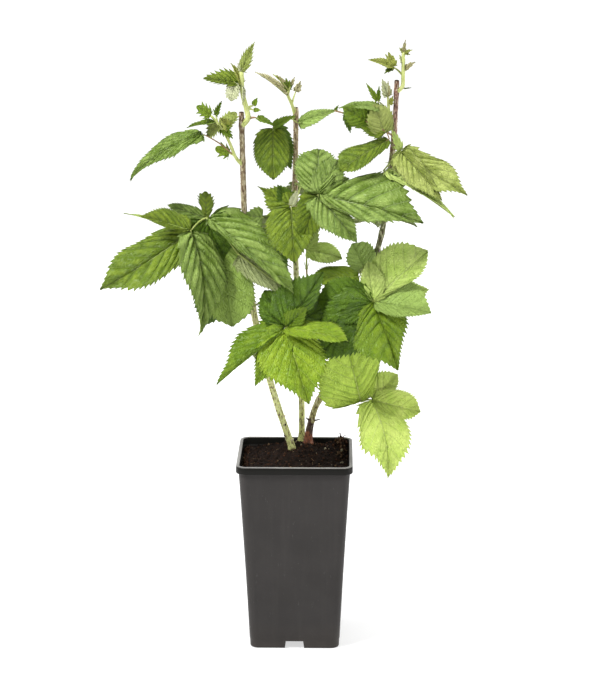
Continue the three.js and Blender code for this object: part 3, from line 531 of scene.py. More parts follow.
SPRAYS = {
    "left_broad_leaf": leafy(
        "left", 448,
        joint((-38, -22, 3),
              leaf((90, -32, -70), 72, 35, 45, "sage", quilt=1.8, tint=-0.15,
                   left=(75, 98, 98, 85, 60, 32), right=(20, 24, 26, 27, 26, 20)),
              leaf((60, -16, -40), 32, 200, -22, "sage", on=(32, -4, -36), cup=-0.1, quilt=0.6, tint=0.3),
              # This leaflet fills the dark hollow behind the joint, its tone painting the shade there.
              leaf((-6, 12, -48), 46, 10, 15, "deep", quilt=0.8),
              leaf((24, 14, -58), 46, 10, 20, "deep", quilt=0.8, tint=0.3),
              leaf((-1, 10, 26), 18, 25, 20, "olive", tooth=0.05,
                   left=(35, 50, 60, 100, 100, 90), right=(40, 60, 80, 100, 90, 70)),
              leaf((-41, 16, 11), 22, -15, 20, "sage", right=(50, 66, 66, 60, 50, 35))),
        joint((-15, -12, -11),
              leaf((-91, -18, -57), 72, -30, 34, "olive", bow=-0.03, quilt=1.6, tint=-0.35,
                   left=(52, 74, 88, 91, 76, 26), right=(42, 60, 72, 80, 76, 36)),
              leaf((9, -16, -106), 58, 45, 10, "sage", bow=0.12, quilt=1.8,
                   left=(62, 90, 100, 95, 62, 20), right=(70, 98, 94, 68, 36, 12)),
              leaf((-49, -12, 17), 36, 20, 45, "olive", quilt=1.5,
                   left=(18, 35, 45, 40, 30, 15), right=(60, 86, 95, 90, 70, 35)),
              leaf((-66, -13, 20), 7, -30, 60, "light", quilt=0.5))),
    "left_hanging_leaf": leafy(
        "left", 412,
        joint((-22, 2, 2),
              leaf((-22, -4, -79), 48, -30, 10, "deep", left=BLUNT, right=OVAL),
              leaf((10, -22, -80), 60, -15, 10, "blue", on=(-2, -12, 6), quilt=0.5, tooth=0.034, tint=-0.5,
                   left=(55, 85, 95, 98, 95, 80), right=(40, 60, 66, 70, 72, 66)),
              leaf((-42, 42, -22), 42, -150, 50, "blue"))),
    "left_inner_leaf": leafy(
        "left", 432,
        joint((12, 4, 2),
              leaf((29, -4, -46), 31, 30, 20, "deep", left=OVAL, right=OVAL),
              leaf((14, 6, -62), 28, -25, 15, "deep"),
              leaf((-20, -2, 2), 20, -5, 20, "sage", on=(6, -9, 15)))),
    "middle_upper_leaf": leafy(
        "middle", 546,
        joint((-8, -10, 1),
              leaf((1, -20, -51), 40, 0, 20, "olive", on=(-15, -8, -9), gather=0.9, quilt=1.2,
                   left=(50, 75, 85, 88, 78, 50), right=(60, 95, 100, 98, 85, 50)),
              leaf((24, -4, 13), 11, -25, 30, "fresh", on=(-15, -8, -9), cup=0.5),
              leaf((19, 4, -44), 27, 10, 20, "deep", on=(-15, -8, -9), tint=0.2),
              leaf((41, -2, 14), 24, -20, 45, "blue", on=(10, -2, -5), quilt=1.3, tint=0.8,
                   left=(30, 60, 75, 60, 40, 20), right=(80, 100, 95, 70, 45, 20)))),
    "middle_olive_leaf": leafy(
        "middle", 470,
        joint((-3, -42, -9),
              leaf((4, -26, -54), 52, 0, 25, "olive", quilt=1.2, gather=0.8, tooth=0.032,
                   left=(55, 85, 90, 80, 60, 30), right=(70, 100, 105, 98, 82, 42)),
              leaf((-35, 12, 19), 30, -10, 20, "olive", tooth=0.035,
                   left=(70, 100, 100, 80, 30, 8), right=(50, 85, 90, 70, 25, 8)),
              leaf((-14, -4, 22), 20, -20, 30, "deep", on=(0, 6, 0)),
              leaf((7, -4, 18), 8, -10, 20, "silver"))),
    "middle_large_leaf": leafy(
        "middle", 478,
        joint((24, -70, -1),
              leaf((1, 38, 42), 48, 5, 45, "sage", quilt=2.1, tooth=0.036, tint=0.05,
                   left=(50, 85, 100, 100, 94, 72), right=(40, 60, 70, 76, 70, 55)),
              leaf((106, -16, -25), 72, 5, 45, "sage", quilt=1.8, tooth=0.03, tint=-0.05,
                   left=(22, 45, 112, 132, 102, 36), right=(20, 40, 60, 62, 36, 14)),
              leaf((40, -26, -43), 42, 10, 35, "sage", quilt=1.3, back=0.12, tint=0.25,
                   left=(25, 38, 48, 56, 55, 28), right=(85, 97, 108, 100, 75, 40)),
              leaf((22, 26, 32), 30, 20, 35, "sage", tooth=0.034, left=BLUNT, right=OVAL),
              leaf((32, 22, 14), 26, 10, 50, "sage", left=OVAL),
              leaf((-20, 14, -16), 24, 0, 30, "olive"),
              leaf((-16, 16, -52), 34, 0, 25, "olive"))),
    "right_long_leaf": leafy(
        "right", 532,
        joint((-8, -8, 5),
              leaf((-31, -2, 27), 35, 20, 20, "olive", left=(60, 90, 100, 95, 80, 50), right=OVAL),
              leaf((-41, -4, 1), 11, 0, 50, "blue", on=(-7, -5, 24), bow=0.12, tint=0.6, quilt=0.6),
              leaf((-11, -6, 31), 29, 8, 30, "gold", on=(-2, -1, -2), quilt=1.3, tint=0.25,
                   left=OVAL, right=OVAL),
              leaf((-50, -18, -30), 36, -20, 45, "olive", on=(3, -2, -7), quilt=0.7,
                   left=(40, 60, 75, 85, 82, 60), right=(30, 50, 66, 85, 96, 90))),
        joint((-18, -6, 10), leaf((-26, -9, 17), 25, 20, 5, "fresh", left=OVAL)),
        joint((-23, -2, 9), leaf((5, -4, -19), 9, 20, 15, "deep")),
        joint((-11, 0, 3), leaf((4, -1, 6), 3, 10, 10, "fresh")),
        stem="red_stalk"),
    "right_arching_leaf": leafy(
        "right", 520,
        joint((7, -19, -1),
              leaf((67, -26, -41), 34, 20, 35, "gold", bow=-0.02, on=(0, 5, 0), tint=-0.1, quilt=1.4,
                   left=(70, 85, 90, 110, 100, 34), right=(50, 70, 80, 100, 100, 34)),
              leaf((42, -24, -46), 30, 10, 40, "gold", quilt=1.7,
                   left=(60, 60, 50, 40, 30, 20), right=(90, 125, 135, 120, 90, 50)),
              leaf((-3, -4, -22), 16, 0, 30, "gold", tint=-0.2, left=OVAL, right=OVAL),
              leaf((-9, -2, 22), 10, 30, 15, "light", tooth=0.05))),
    "right_yellow_leaf": leafy(
        "right", 505,
        joint((-8, -18, -6),
              leaf((71, -28, -42), 46, 40, 60, "light", quilt=1.1, tint=0.35,
                   left=(45, 55, 60, 60, 30, 10), right=(35, 40, 35, 22, 10, 5)))),
    "right_low_leaf": leafy(
        "right", 330,
        joint((23, -51, 39),
              leaf((55, 6, 51), 68, -15, 25, "light", quilt=0.8, gather=0.4,
                   left=(60, 85, 95, 95, 90, 66), right=(12, 20, 30, 42, 46, 32)),
              leaf((58, 32, 6), 46, 0, 45, "light", tint=-0.3),
              leaf((-6, 10, 40), 30, -10, 20, "light", quilt=1.1,
                   left=(40, 60, 70, 70, 55, 30), right=(60, 85, 100, 100, 80, 50)),
              leaf((58, -18, -8), 46, 8, 34, "blue", quilt=0.6, tint=0.95,
                   left=(70, 105, 125, 125, 102, 56), right=(35, 55, 60, 55, 45, 25)),
              leaf((25, -30, -65), 62, 25, 30, "fresh", quilt=1.4, tooth=0.036, tint=0.3,
                   left=(62, 84, 84, 58, 34, 16), right=(40, 85, 120, 135, 108, 46)),
              leaf((-57, 6, 0), 48, -5, 15, "deep", quilt=0.8, left=BLUNT, right=(50, 80, 96, 100, 90, 70)),
              leaf((-27, -8, -48), 46, 0, 10, "deep", quilt=0.8, tint=0.12, left=BLUNT, right=OVAL),
              leaf((-61, -2, -62), 62, 0, 12, "deep", quilt=0.8, tint=0.15))),
    "right_olive_leaf": leafy(
        "right", 396,
        joint((-9, -9, 0),
              # This leaflet hangs in shade and is given a pale tone, which paints light on it.
              leaf((-12, -3, 26), 36, 10, 20, "blue", quilt=1.3, tint=0.5,
                   left=(50, 70, 80, 80, 66, 40), right=BLUNT),
              leaf((-51, -6, -2), 34, 5, 62, "bright", on=(-4, -1, -9), left=OVAL, right=OVAL))),
    "front_bright_leaf": leafy(
        "middle", 300,
        joint((-12, -89, 44),
              leaf((24, -34, -71), 72, -5, 25, "bright", quilt=1.2, gather=0.8, tooth=0.034,
                   left=(50, 72, 86, 86, 64, 26), right=(66, 100, 102, 85, 52, 22)),
              leaf((-31, -20, -56), 34, -5, 25, "bright", quilt=0.8, tooth=0.03, gather=0.5, tint=-0.2),
              leaf((-69, -28, -52), 52, -40, 45, "fresh", quilt=0.6, tooth=0.032, tint=-0.25,
                   left=(14, 16, 15, 12, 10, 6), right=(90, 115, 120, 95, 60, 26)),
              leaf((38, 20, 54), 62, 5, 15, "deep", quilt=0.9, tooth=0.03,
                   left=(75, 95, 95, 85, 60, 30), right=(25, 32, 36, 36, 28, 16)),
              leaf((22, 2, 22), 22, 0, 15, "fresh"),
              leaf((-22, 16, 36), 34, -10, 15, "deep", left=OVAL, right=OVAL),
              leaf((63, -30, -6), 46, -10, 75, "bright", quilt=0.8,
                   left=(50, 75, 95, 100, 82, 45), right=(50, 72, 80, 80, 72, 50)),
              leaf((48, 30, 20), 34, 0, 15, "deep", quilt=0.8, left=BLUNT, right=OVAL),
              leaf((10, 42, 16), 30, 0, 50, "fresh"))),
    "right_yellow_green_leaf": leafy(
        "right", 252,
        joint((54, -43, 10),
              leaf((-17, -12, 70), 66, 5, 20, "spring", on=(-11, 2, -3), quilt=1.3, tint=0.1, gather=0.7,
                   tooth=0.026, left=(85, 122, 122, 115, 95, 50), right=(34, 56, 78, 90, 78, 44)),
              leaf((17, -24, -77), 62, 35, 20, "lime", bow=0.12, quilt=0.9, tooth=0.038,
                   left=(52, 78, 96, 100, 82, 38), right=(62, 92, 110, 118, 56, 26)),
              leaf((50, -14, -9), 35, -15, 15, "lime",
                   left=(55, 80, 95, 100, 95, 75), right=(30, 50, 60, 68, 70, 55)),
              leaf((27, 10, 25), 38, 5, 20, "lime", tint=-0.15,
                   left=(90, 100, 95, 90, 78, 50), right=(50, 60, 60, 60, 50, 35)))),
    # These leaflets hang in shade and are given the light tone, which paints light on them.
    "young_cane_leaf": leafy(
        "young", 390,
        joint((0, -6, 21),
              leaf((37, -12, -7), 26, -15, 45, "light", tint=-0.3, left=OVAL, right=OVAL),
              leaf((12, -6, 30), 22, -20, 15, "light", tint=-0.4))),
    "left_top_shoot": shoot(
        "left", 544, 2.9, 2.2,
        joint((6.5, -2.5, 6),
              leaf((18, -3, -8), 9, 20, 50, "fresh", on=(8.5, 0, 1), cup=0.4, stem="red_stalk")),
        joint((-1.5, 0, 10),
              leaf((4, -1, 8), 6, -20, 20, "bright", on=(7, 1, 3), tooth=0.008),
              leaf((7.5, -1, 0), 5, 0, 30, "bright", on=(7, 1, -1.5), tooth=0.008)),
        joint((-4, -1, 17),
              leaf((-10, -2, 21), 11, 45, 20, "young", on=(-1, 0, 8), cup=0.5, quilt=1.6),
              leaf((-37, -4, 5), 25, 20, 22, "olive", on=(-2, -1, 9), quilt=1.4, tooth=0.055, tint=0.35,
                   pairs=6, left=(40, 40, 36, 36, 30, 20), right=(45, 80, 95, 85, 55, 35)),
              leaf((-11, -3, -6), 9, 20, 30, "deep", on=(-2, -1, 9), quilt=1.8, tooth=0.06),
              leaf((-3, -4, -19), 14, 0, 25, "silver", on=(-8, -2, 10), tint=0.3, left=BLUNT, right=BLUNT),
              leaf((0, -3, -20), 6, 60, 10, "silver", on=(0, -2, 7), cup=0.7)),
        joint((-0.5, -1, 20),
              leaf((13, 1, 30), 14, -30, 15, "gold", quilt=1.8, tooth=0.05, tint=0.1,
                   left=(50, 85, 95, 75, 50, 25), right=(60, 100, 100, 85, 50, 22)),
              leaf((-4, 1, 9), 5, 0, 10, "silver")),
        sink=1),
    "left_side_shoot": shoot(
        "left", 507, 2, 1.2,
        joint((-7, -5, 4),
              leaf((-75, -18, -43), 34, -40, 45, "sage", on=(-31, -10, 24), bow=0.08, quilt=1.6, tint=-0.2,
                   stem="red_stalk", left=(60, 90, 95, 70, 42, 16), right=(75, 100, 95, 90, 70, 30)),
              leaf((-14, -6, 6), 13, 15, 25, "bright", on=(-6, -2, 4), tooth=0.09, pairs=2,
                   left=BLUNT, right=BLUNT)),
        joint((-7, -4, 18),
              leaf((-9, 0, 12), 12, 20, 10, "young", on=(1, -2, 11), cup=0.6),
              leaf((14, 8, 15), 18, -30, 35, "gold", on=(-6, 0, 12), tooth=0.05, left=BLUNT, right=BLUNT),
              leaf((12, -4, -12), 11, -30, 35, "fresh", on=(-7, -2, 14), quilt=1.6, tooth=0.06)),
        joint((-10, -4, 17),
              leaf((-29, -7, -4), 12, -30, 70, "fresh", on=(-2, -1, 1), cup=0.4),
              leaf((-12, 1, -13), 15, -10, 30, "gold", tooth=0.05, left=BLUNT),
              leaf((6, -2, 15), 7, -20, 10, "fresh", on=(-2, -2, 8), cup=0.6, tooth=0.05)),
        joint((-7, -2, 8),
              leaf((-14, -4, 10), 13, 15, 25, "bright", tooth=0.08, pairs=3, left=BLUNT, right=BLUNT))),
    "middle_top_shoot": shoot(
        "middle", 552, 1.8, 1.4,
        joint((-4, -3, 8), leaf((5, -2, 11), 8, 20, 10, "bronze", on=(4, -1, 13), cup=0.4)),
        joint((-4, -1, 9), leaf((-33, -4, 25), 13, 60, 45, "bronze", quilt=1.8, tooth=0.05, cup=0.4)),
        joint((1, 0, 5),
              leaf((-16, -2, 17), 9, 60, 40, "young", cup=0.5),
              leaf((-12, -1, 16), 6, 50, 30, "bronze", cup=0.5),
              leaf((-3, -2, 13), 8, 10, 10, "olive", tooth=0.06),
              leaf((4, 0, 9), 4, 0, 10, "bronze", on=(2, 0, 5)))),
    "right_top_shoot": shoot(
        "right", 577, 2.2, 1.7,
        joint((6, -1, 5), leaf((7, -1, 1), 1.6, 0, 50, "deep", on=(2, 0, -2), tooth=0, stem="dark_stub")),
        joint((0.5, -1, 11),
              leaf((-25, -5, 8), 11, 30, 45, "young", on=(-10, -3, 9), cup=0.4, tint=-0.2),
              leaf((-5, -1, 15), 10, 5, 0, "young", on=(-10, -3, 9), cup=0.4, tint=-0.3),
              leaf((-8, -2, 13), 6, 15, 0, "young", on=(-10, -3, 9), cup=0.4),
              leaf((-9, -5, -6), 7, -20, 40, "olive", on=(-10, -3, 9)),
              leaf((10, -2, 8), 7, -30, 30, "bronze", on=(2, 0, 6), cup=0.5)),
        joint((0, 0, 12), leaf((-4, -1, 9), 6, 30, 10, "silver", cup=0.4)),
        joint((0, 0, 11),
              leaf((2, 0, 13), 4, 0, 5, "bronze"),
              leaf((9, -2, 3), 4, -20, 40, "young"),
              leaf((7, -1, -2), 4, -20, 40, "young"),
              leaf((-4, -1, 5), 4, 20, 30, "young")),
        sink=0),
    "right_side_shoot": shoot(
        "right", 538, 1.4, 1,
        joint((-6, -4, 19),
              leaf((-12, -2, 18), 6, -20, 30, "bright", on=(-11, -4, 11), cup=0.3, tint=0.1),
              leaf((1, -1, 15), 5, 0, 5, "fresh", on=(-11, -4, 11), cup=0.4),
              leaf((3, -2, 9), 6, -20, 20, "young", on=(1, -1, 7))),
        joint((-1, -1, 15),
              leaf((-6, -2, 18), 11, 20, 0, "silver", cup=0.3, quilt=1.6),
              leaf((0, -1, 16), 5, -20, 0, "bronze", cup=0.5))),
}

# The leaves behind the canes follow one rule. Steps and turns are shares of a stalk's length and of its turn.
BACK_RULE = {"rise": 25, "level": 0.6, "step": 0.3, "hang": 32, "side_turn": 66, "side_hang": 18,
             "side_size": 0.85, "shrink": 0.12, "face_turn": 0.6, "face_up": 62, "shape": 0.66, "vary": 0.14}
# Each one's cane, height, turn of the stalk, stalk, end leaflet's size, pairs of side leaflets and tone.
BACK_LEAVES = {
    "left_back_leaf_high": ("left", 424, 222, 42, 60, 1, "olive"),
    "left_back_leaf_inner": ("left", 390, 165, 40, 56, 1, "deep"),
    "left_back_leaf_low": ("left", 356, 228, 40, 54, 1, "fresh"),
    "left_back_leaf_foot": ("left", 296, 190, 36, 48, 1, "fresh"),
    "middle_back_leaf_high": ("middle", 458, 168, 38, 54, 1, "sage"),
    "middle_back_leaf_side": ("middle", 424, 208, 40, 56, 1, "olive"),
    "middle_back_leaf_low": ("middle", 340, 188, 44, 60, 2, "fresh"),
    "right_back_leaf_high": ("right", 432, 182, 42, 58, 1, "sage"),
    "right_back_leaf_side": ("right", 376, 150, 40, 54, 1, "fresh"),
    "right_back_leaf_low": ("right", 318, 172, 42, 60, 2, "bright"),
}

# ---------------------------------------------------------------- vectors and curves


def point(*values):
    return np.array(values, float)


def unit(way):
    return way / np.linalg.norm(way)


def lerp(a, b, share):
    return a + (b - a) * share


def looking(turn, rise):
    """The unit vector that looks so many degrees right of the front and so many above level."""
    a, b = math.radians(turn), math.radians(rise)
    return point(math.sin(a) * math.cos(b), -math.cos(a) * math.cos(b), math.sin(b))


def line_at(line, height):
    """A smooth curve through rows of (height, x, y), read at one height."""
    i = 0
    while i < len(line) - 2 and height > line[i + 1][0]:
        i += 1
    last = len(line) - 1
    a, b, c, d = (line[min(max(k, 0), last)] for k in (i - 1, i, i + 1, i + 2))
    span = c[0] - b[0]
    u = (height - b[0]) / span

    def at(k):
        into = (c[k] - b[k]) / span if a == b else (c[k] - a[k]) / (c[0] - a[0])
        out = (c[k] - b[k]) / span if d == c else (d[k] - b[k]) / (d[0] - b[0])
        return ((2 * u**3 - 3 * u**2 + 1) * b[k] + (u**3 - 2 * u**2 + u) * span * into
                + (3 * u**2 - 2 * u**3) * c[k] + (u**3 - u**2) * span * out)

    return point(at(1), at(2), height)


def sunk(line, height):
    """The same, but straight down below the line's foot."""
    return line_at(line, max(height, line[0][0])) * (1, 1, 0) + (0, 0, height)


def cane_radius(about, height):
    low, high = about["line"][0][0], about["line"][-1][0]
    spread = min(1.3, max(0.0, 1 - (height - low) / FLARE_HEIGHT))
    return lerp(*about["radius"], (height - low) / (high - low)) + about["flare"] * spread**2


def variation(seed, share):
    """Draws that repeat for the same seed, each between 1 - share and 1 + share."""
    state = seed
    while True:
        state = state * 48271 % 2147483647
        yield 1 + share * (2 * state / 2147483647 - 1)


def through(points, steps):
    """More points on a smooth curve through the given ones."""
    points = [np.asarray(p, float) for p in points]
    last = len(points) - 1
    made = [points[0]]
    for i in range(last):
        a, b, c, d = (points[min(max(k, 0), last)] for k in (i - 1, i, i + 1, i + 2))
        for k in range(1, steps + 1):
            u = k / steps
            made.append(0.5 * (2 * b + (c - a) * u + (2 * a - 5 * b + 4 * c - d) * u**2
                               + (3 * b - a - 3 * c + d) * u**3))
    return made


def field(x, y, cell, seed):
    """Smooth noise between -1 and 1 over a plane, with one draw to a cell."""
    draws = np.random.RandomState(seed).uniform(-1, 1, (128, 128))
    u, v = np.asarray(x) / cell + 64, np.asarray(y) / cell + 64
    i, j = np.floor(u).astype(int) % 127, np.floor(v).astype(int) % 127
    a, b = u - np.floor(u), v - np.floor(v)
    a, b = a * a * (3 - 2 * a), b * b * (3 - 2 * b)
    low = draws[i, j] * (1 - a) + draws[i + 1, j] * a
    high = draws[i, j + 1] * (1 - a) + draws[i + 1, j + 1] * a
    return low * (1 - b) + high * b


# ---------------------------------------------------------------- meshes


class Skin:
    """Gathers closed skins, in millimetres, that become one piece."""

    def __init__(self):
        self.points, self.faces, self.marks = [], [], []
        self.blades, self.tints, self.names = [], [], []
        self.count = 0

    def add(self, points, parts, blade=None, tint=0.0):
        """parts are rows of (faces, finish, smooth), and faces index the points, all with as many corners."""
        points = np.asarray(points, float).reshape(-1, 3)
        for faces, finish, smooth in parts:
            if finish not in self.names:
                self.names.append(finish)
            self.faces.append(np.asarray(faces, int) + self.count)
            self.marks.append((self.names.index(finish), smooth))
        self.points.append(points)
        self.blades.append(np.zeros((len(points), 2)) if blade is None else np.asarray(blade, float))
        self.tints.append(np.full(len(points), tint))
        self.count += len(points)

    def piece(self, name, replaces=(), slot=None):
        mesh = bpy.data.meshes.new(name)
        loops = np.concatenate([f.ravel() for f in self.faces])
        sizes = np.concatenate([np.full(len(f), f.shape[1]) for f in self.faces])
        mesh.vertices.add(self.count)
        mesh.vertices.foreach_set("co", (np.concatenate(self.points) * MM).ravel())
        mesh.loops.add(len(loops))
        mesh.loops.foreach_set("vertex_index", loops)
        mesh.polygons.add(len(sizes))
        mesh.polygons.foreach_set("loop_start", np.concatenate([[0], np.cumsum(sizes)[:-1]]))
        for k, kind in enumerate(("material_index", "use_smooth")):
            marks = [np.full(len(f), mark[k]) for f, mark in zip(self.faces, self.marks)]
            mesh.polygons.foreach_set(kind, np.concatenate(marks))
        mesh.update(calc_edges=True)
        mesh.uv_layers.new(name="blade")
        mesh.uv_layers["blade"].data.foreach_set("uv", np.concatenate(self.blades)[loops].ravel())
        tint = mesh.attributes.new("tint", "FLOAT", "POINT")
        tint.data.foreach_set("value", np.concatenate(self.tints))
        for finish in self.names:
            mesh.materials.append(FINISHES[finish])
        dress(mesh, name, replaces)


def dress(mesh, name, replaces=()):
    """Puts a mesh in the scene as a piece of the plant."""
    made = put(name, mesh)
    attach(made, "root")
    if replaces:
        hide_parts(*replaces)


def band(rows, count):
    """Quads between rows of equally many points that run round."""
    r, k = np.meshgrid(np.arange(rows - 1), np.arange(count), indexing="ij")
    a, b = r * count + k, r * count + (k + 1) % count
    return np.stack([a, b, b + count, a + count], -1).reshape(-1, 4)


def fan(first, count, hub, turned=False):
    k = np.arange(count)
    a, b = first + k, first + (k + 1) % count
    return np.stack([b, a, np.full(count, hub)] if turned else [a, b, np.full(count, hub)], -1)


def sheet(rows, wide):
    """Quads between the points of a grid, and the points round its margin in order."""
    r, k = np.meshgrid(np.arange(rows - 1), np.arange(wide - 1), indexing="ij")
    a = r * wide + k
    quads = np.stack([a, a + wide, a + wide + 1, a + 1], -1).reshape(-1, 4)
    left = np.arange(rows) * wide
    back = left[-1] + np.arange(wide - 2, -1, -1)
    return quads, np.concatenate([np.arange(wide), left[1:] + wide - 1, back, left[-2:0:-1]])


def hem(above, below):
    """Quads down from one loop of points to another."""
    return np.stack([above, np.roll(above, -1), np.roll(below, -1), below], -1)


def tube(skin, points, radii, sides, finish, sway=None, tip=None):
    """A closed round limb along points. sway, where given, changes each ring's radii by angle and ring."""
    points = np.array(points)
    side = point(1, 0, 0)
    angles = np.arange(sides) * 2 * math.pi / sides
    rings = []
    for i, centre in enumerate(points):
        way = unit(points[min(i + 1, len(points) - 1)] - points[max(i - 1, 0)])
        if i == 0 and abs(way[0]) > 0.9:
            side = point(0, 1, 0)
        side = unit(side - way * side.dot(way))
        other = np.cross(way, side)
        out = radii[i] * (1 if sway is None else sway(angles, i))
        rings.append(centre + np.outer(np.cos(angles) * out, side) + np.outer(np.sin(angles) * out, other))
    hub = len(points) * sides
    skin.add(np.concatenate(rings + [points[:1], points[-1:]]), [
        (band(len(points), sides), finish, True),
        (fan(0, sides, hub, turned=True), finish, False),
        (fan(hub - sides, sides, hub + 1), tip or finish, False)])


def twig(skin, ends, steps, thick, thin, sides, finish):
    """A limb that bends smoothly through its ends and tapers."""
    curve = through(ends, steps)
    tube(skin, curve, np.linspace(thick, thin, len(curve)), sides, finish)


def spike(skin, root, way, length, radius, finish, hook=0.0):
    """A small prickle that stands on a surface, its point drawn down by hook."""
    way = unit(way)
    side = unit(np.cross(way, point(0.31, 0.2, 0.93)))
    other = np.cross(way, side)
    ring = [root - way * 0.3 * radius + radius * (side * math.cos(a) + other * math.sin(a))
            for a in (0.3, 1.87, 3.44, 5.01)]
    tip = root + way * length - point(0, 0, hook * length)
    skin.add(ring + [tip], [(fan(0, 4, 4), finish, True), ([[3, 2, 1, 0]], finish, False)])


# ---------------------------------------------------------------- leaflets

NECK = 0.02  # share of a leaflet's length before its blade begins
FAN = 2  # pairs of side veins that leave from the neck itself
FAN_SHARE = 0.30  # how far up the margin those veins reach
TIP_HALF = 0.35  # the least half width of a blade
THIN = 0.34  # a blade's thickness
RIB = 0.22  # how far a side vein stands out below it
CURL = -0.13  # how much more a blade bends towards its margin
WAVE, CRUMPLE = 0.018, 0.017  # how far it waves and crumples, as shares of its length
QUILT, MOST_QUILT = 0.0235, 2.1  # how deep it is quilted, as a share of its length and at most
SHOULDER, SLOPE = 0.5, 1.15  # how a leaflet swells and tapers that has no outline of its own
# What a leaflet has where its row says nothing: how far its midrib bows, its halves bend up, it puffs between
# its veins, its teeth stand out, its veins gather at its foot and its lobes reach back, and its lighter tint.
USUAL = {"bow": 0.035, "cup": 0.15, "quilt": 1.0, "tooth": 0.028, "gather": 0.45, "back": 0.10, "tint": 0.0}
# Stations between two side veins: how far along, and how far a tooth stands out there.
FINE_TEETH = ((0.0, 1.0), (0.07, -0.8), (0.28, -0.15), (0.5, 0.9), (0.57, -0.8), (0.79, -0.1))
SAW_TEETH = ((0.0, 1.0), (0.12, -0.9), (0.38, -0.5), (0.66, 0.05), (0.88, 0.6))
PLAIN_TEETH = ((0.0, 1.0), (0.2, -0.8), (0.62, 0.0))
# Leaflets from so long: pairs of side veins above the fan, stations, and shares of the way out along a vein.
DETAIL = (
    (50, 7, FINE_TEETH, (0, 0.03, 0.1, 0.19, 0.28, 0.37, 0.46, 0.55, 0.64, 0.73, 0.82, 0.91, 1)),
    (34, 5, FINE_TEETH, (0, 0.04, 0.14, 0.27, 0.4, 0.53, 0.66, 0.78, 0.9, 1)),
    (24, 6, SAW_TEETH, (0, 0.04, 0.14, 0.27, 0.4, 0.53, 0.66, 0.78, 0.9, 1)),
    (16, 4, SAW_TEETH, (0, 0.06, 0.3, 0.6, 0.84, 1)),
    (0, 2, PLAIN_TEETH, (0, 0.1, 0.45, 0.8, 1)),
)


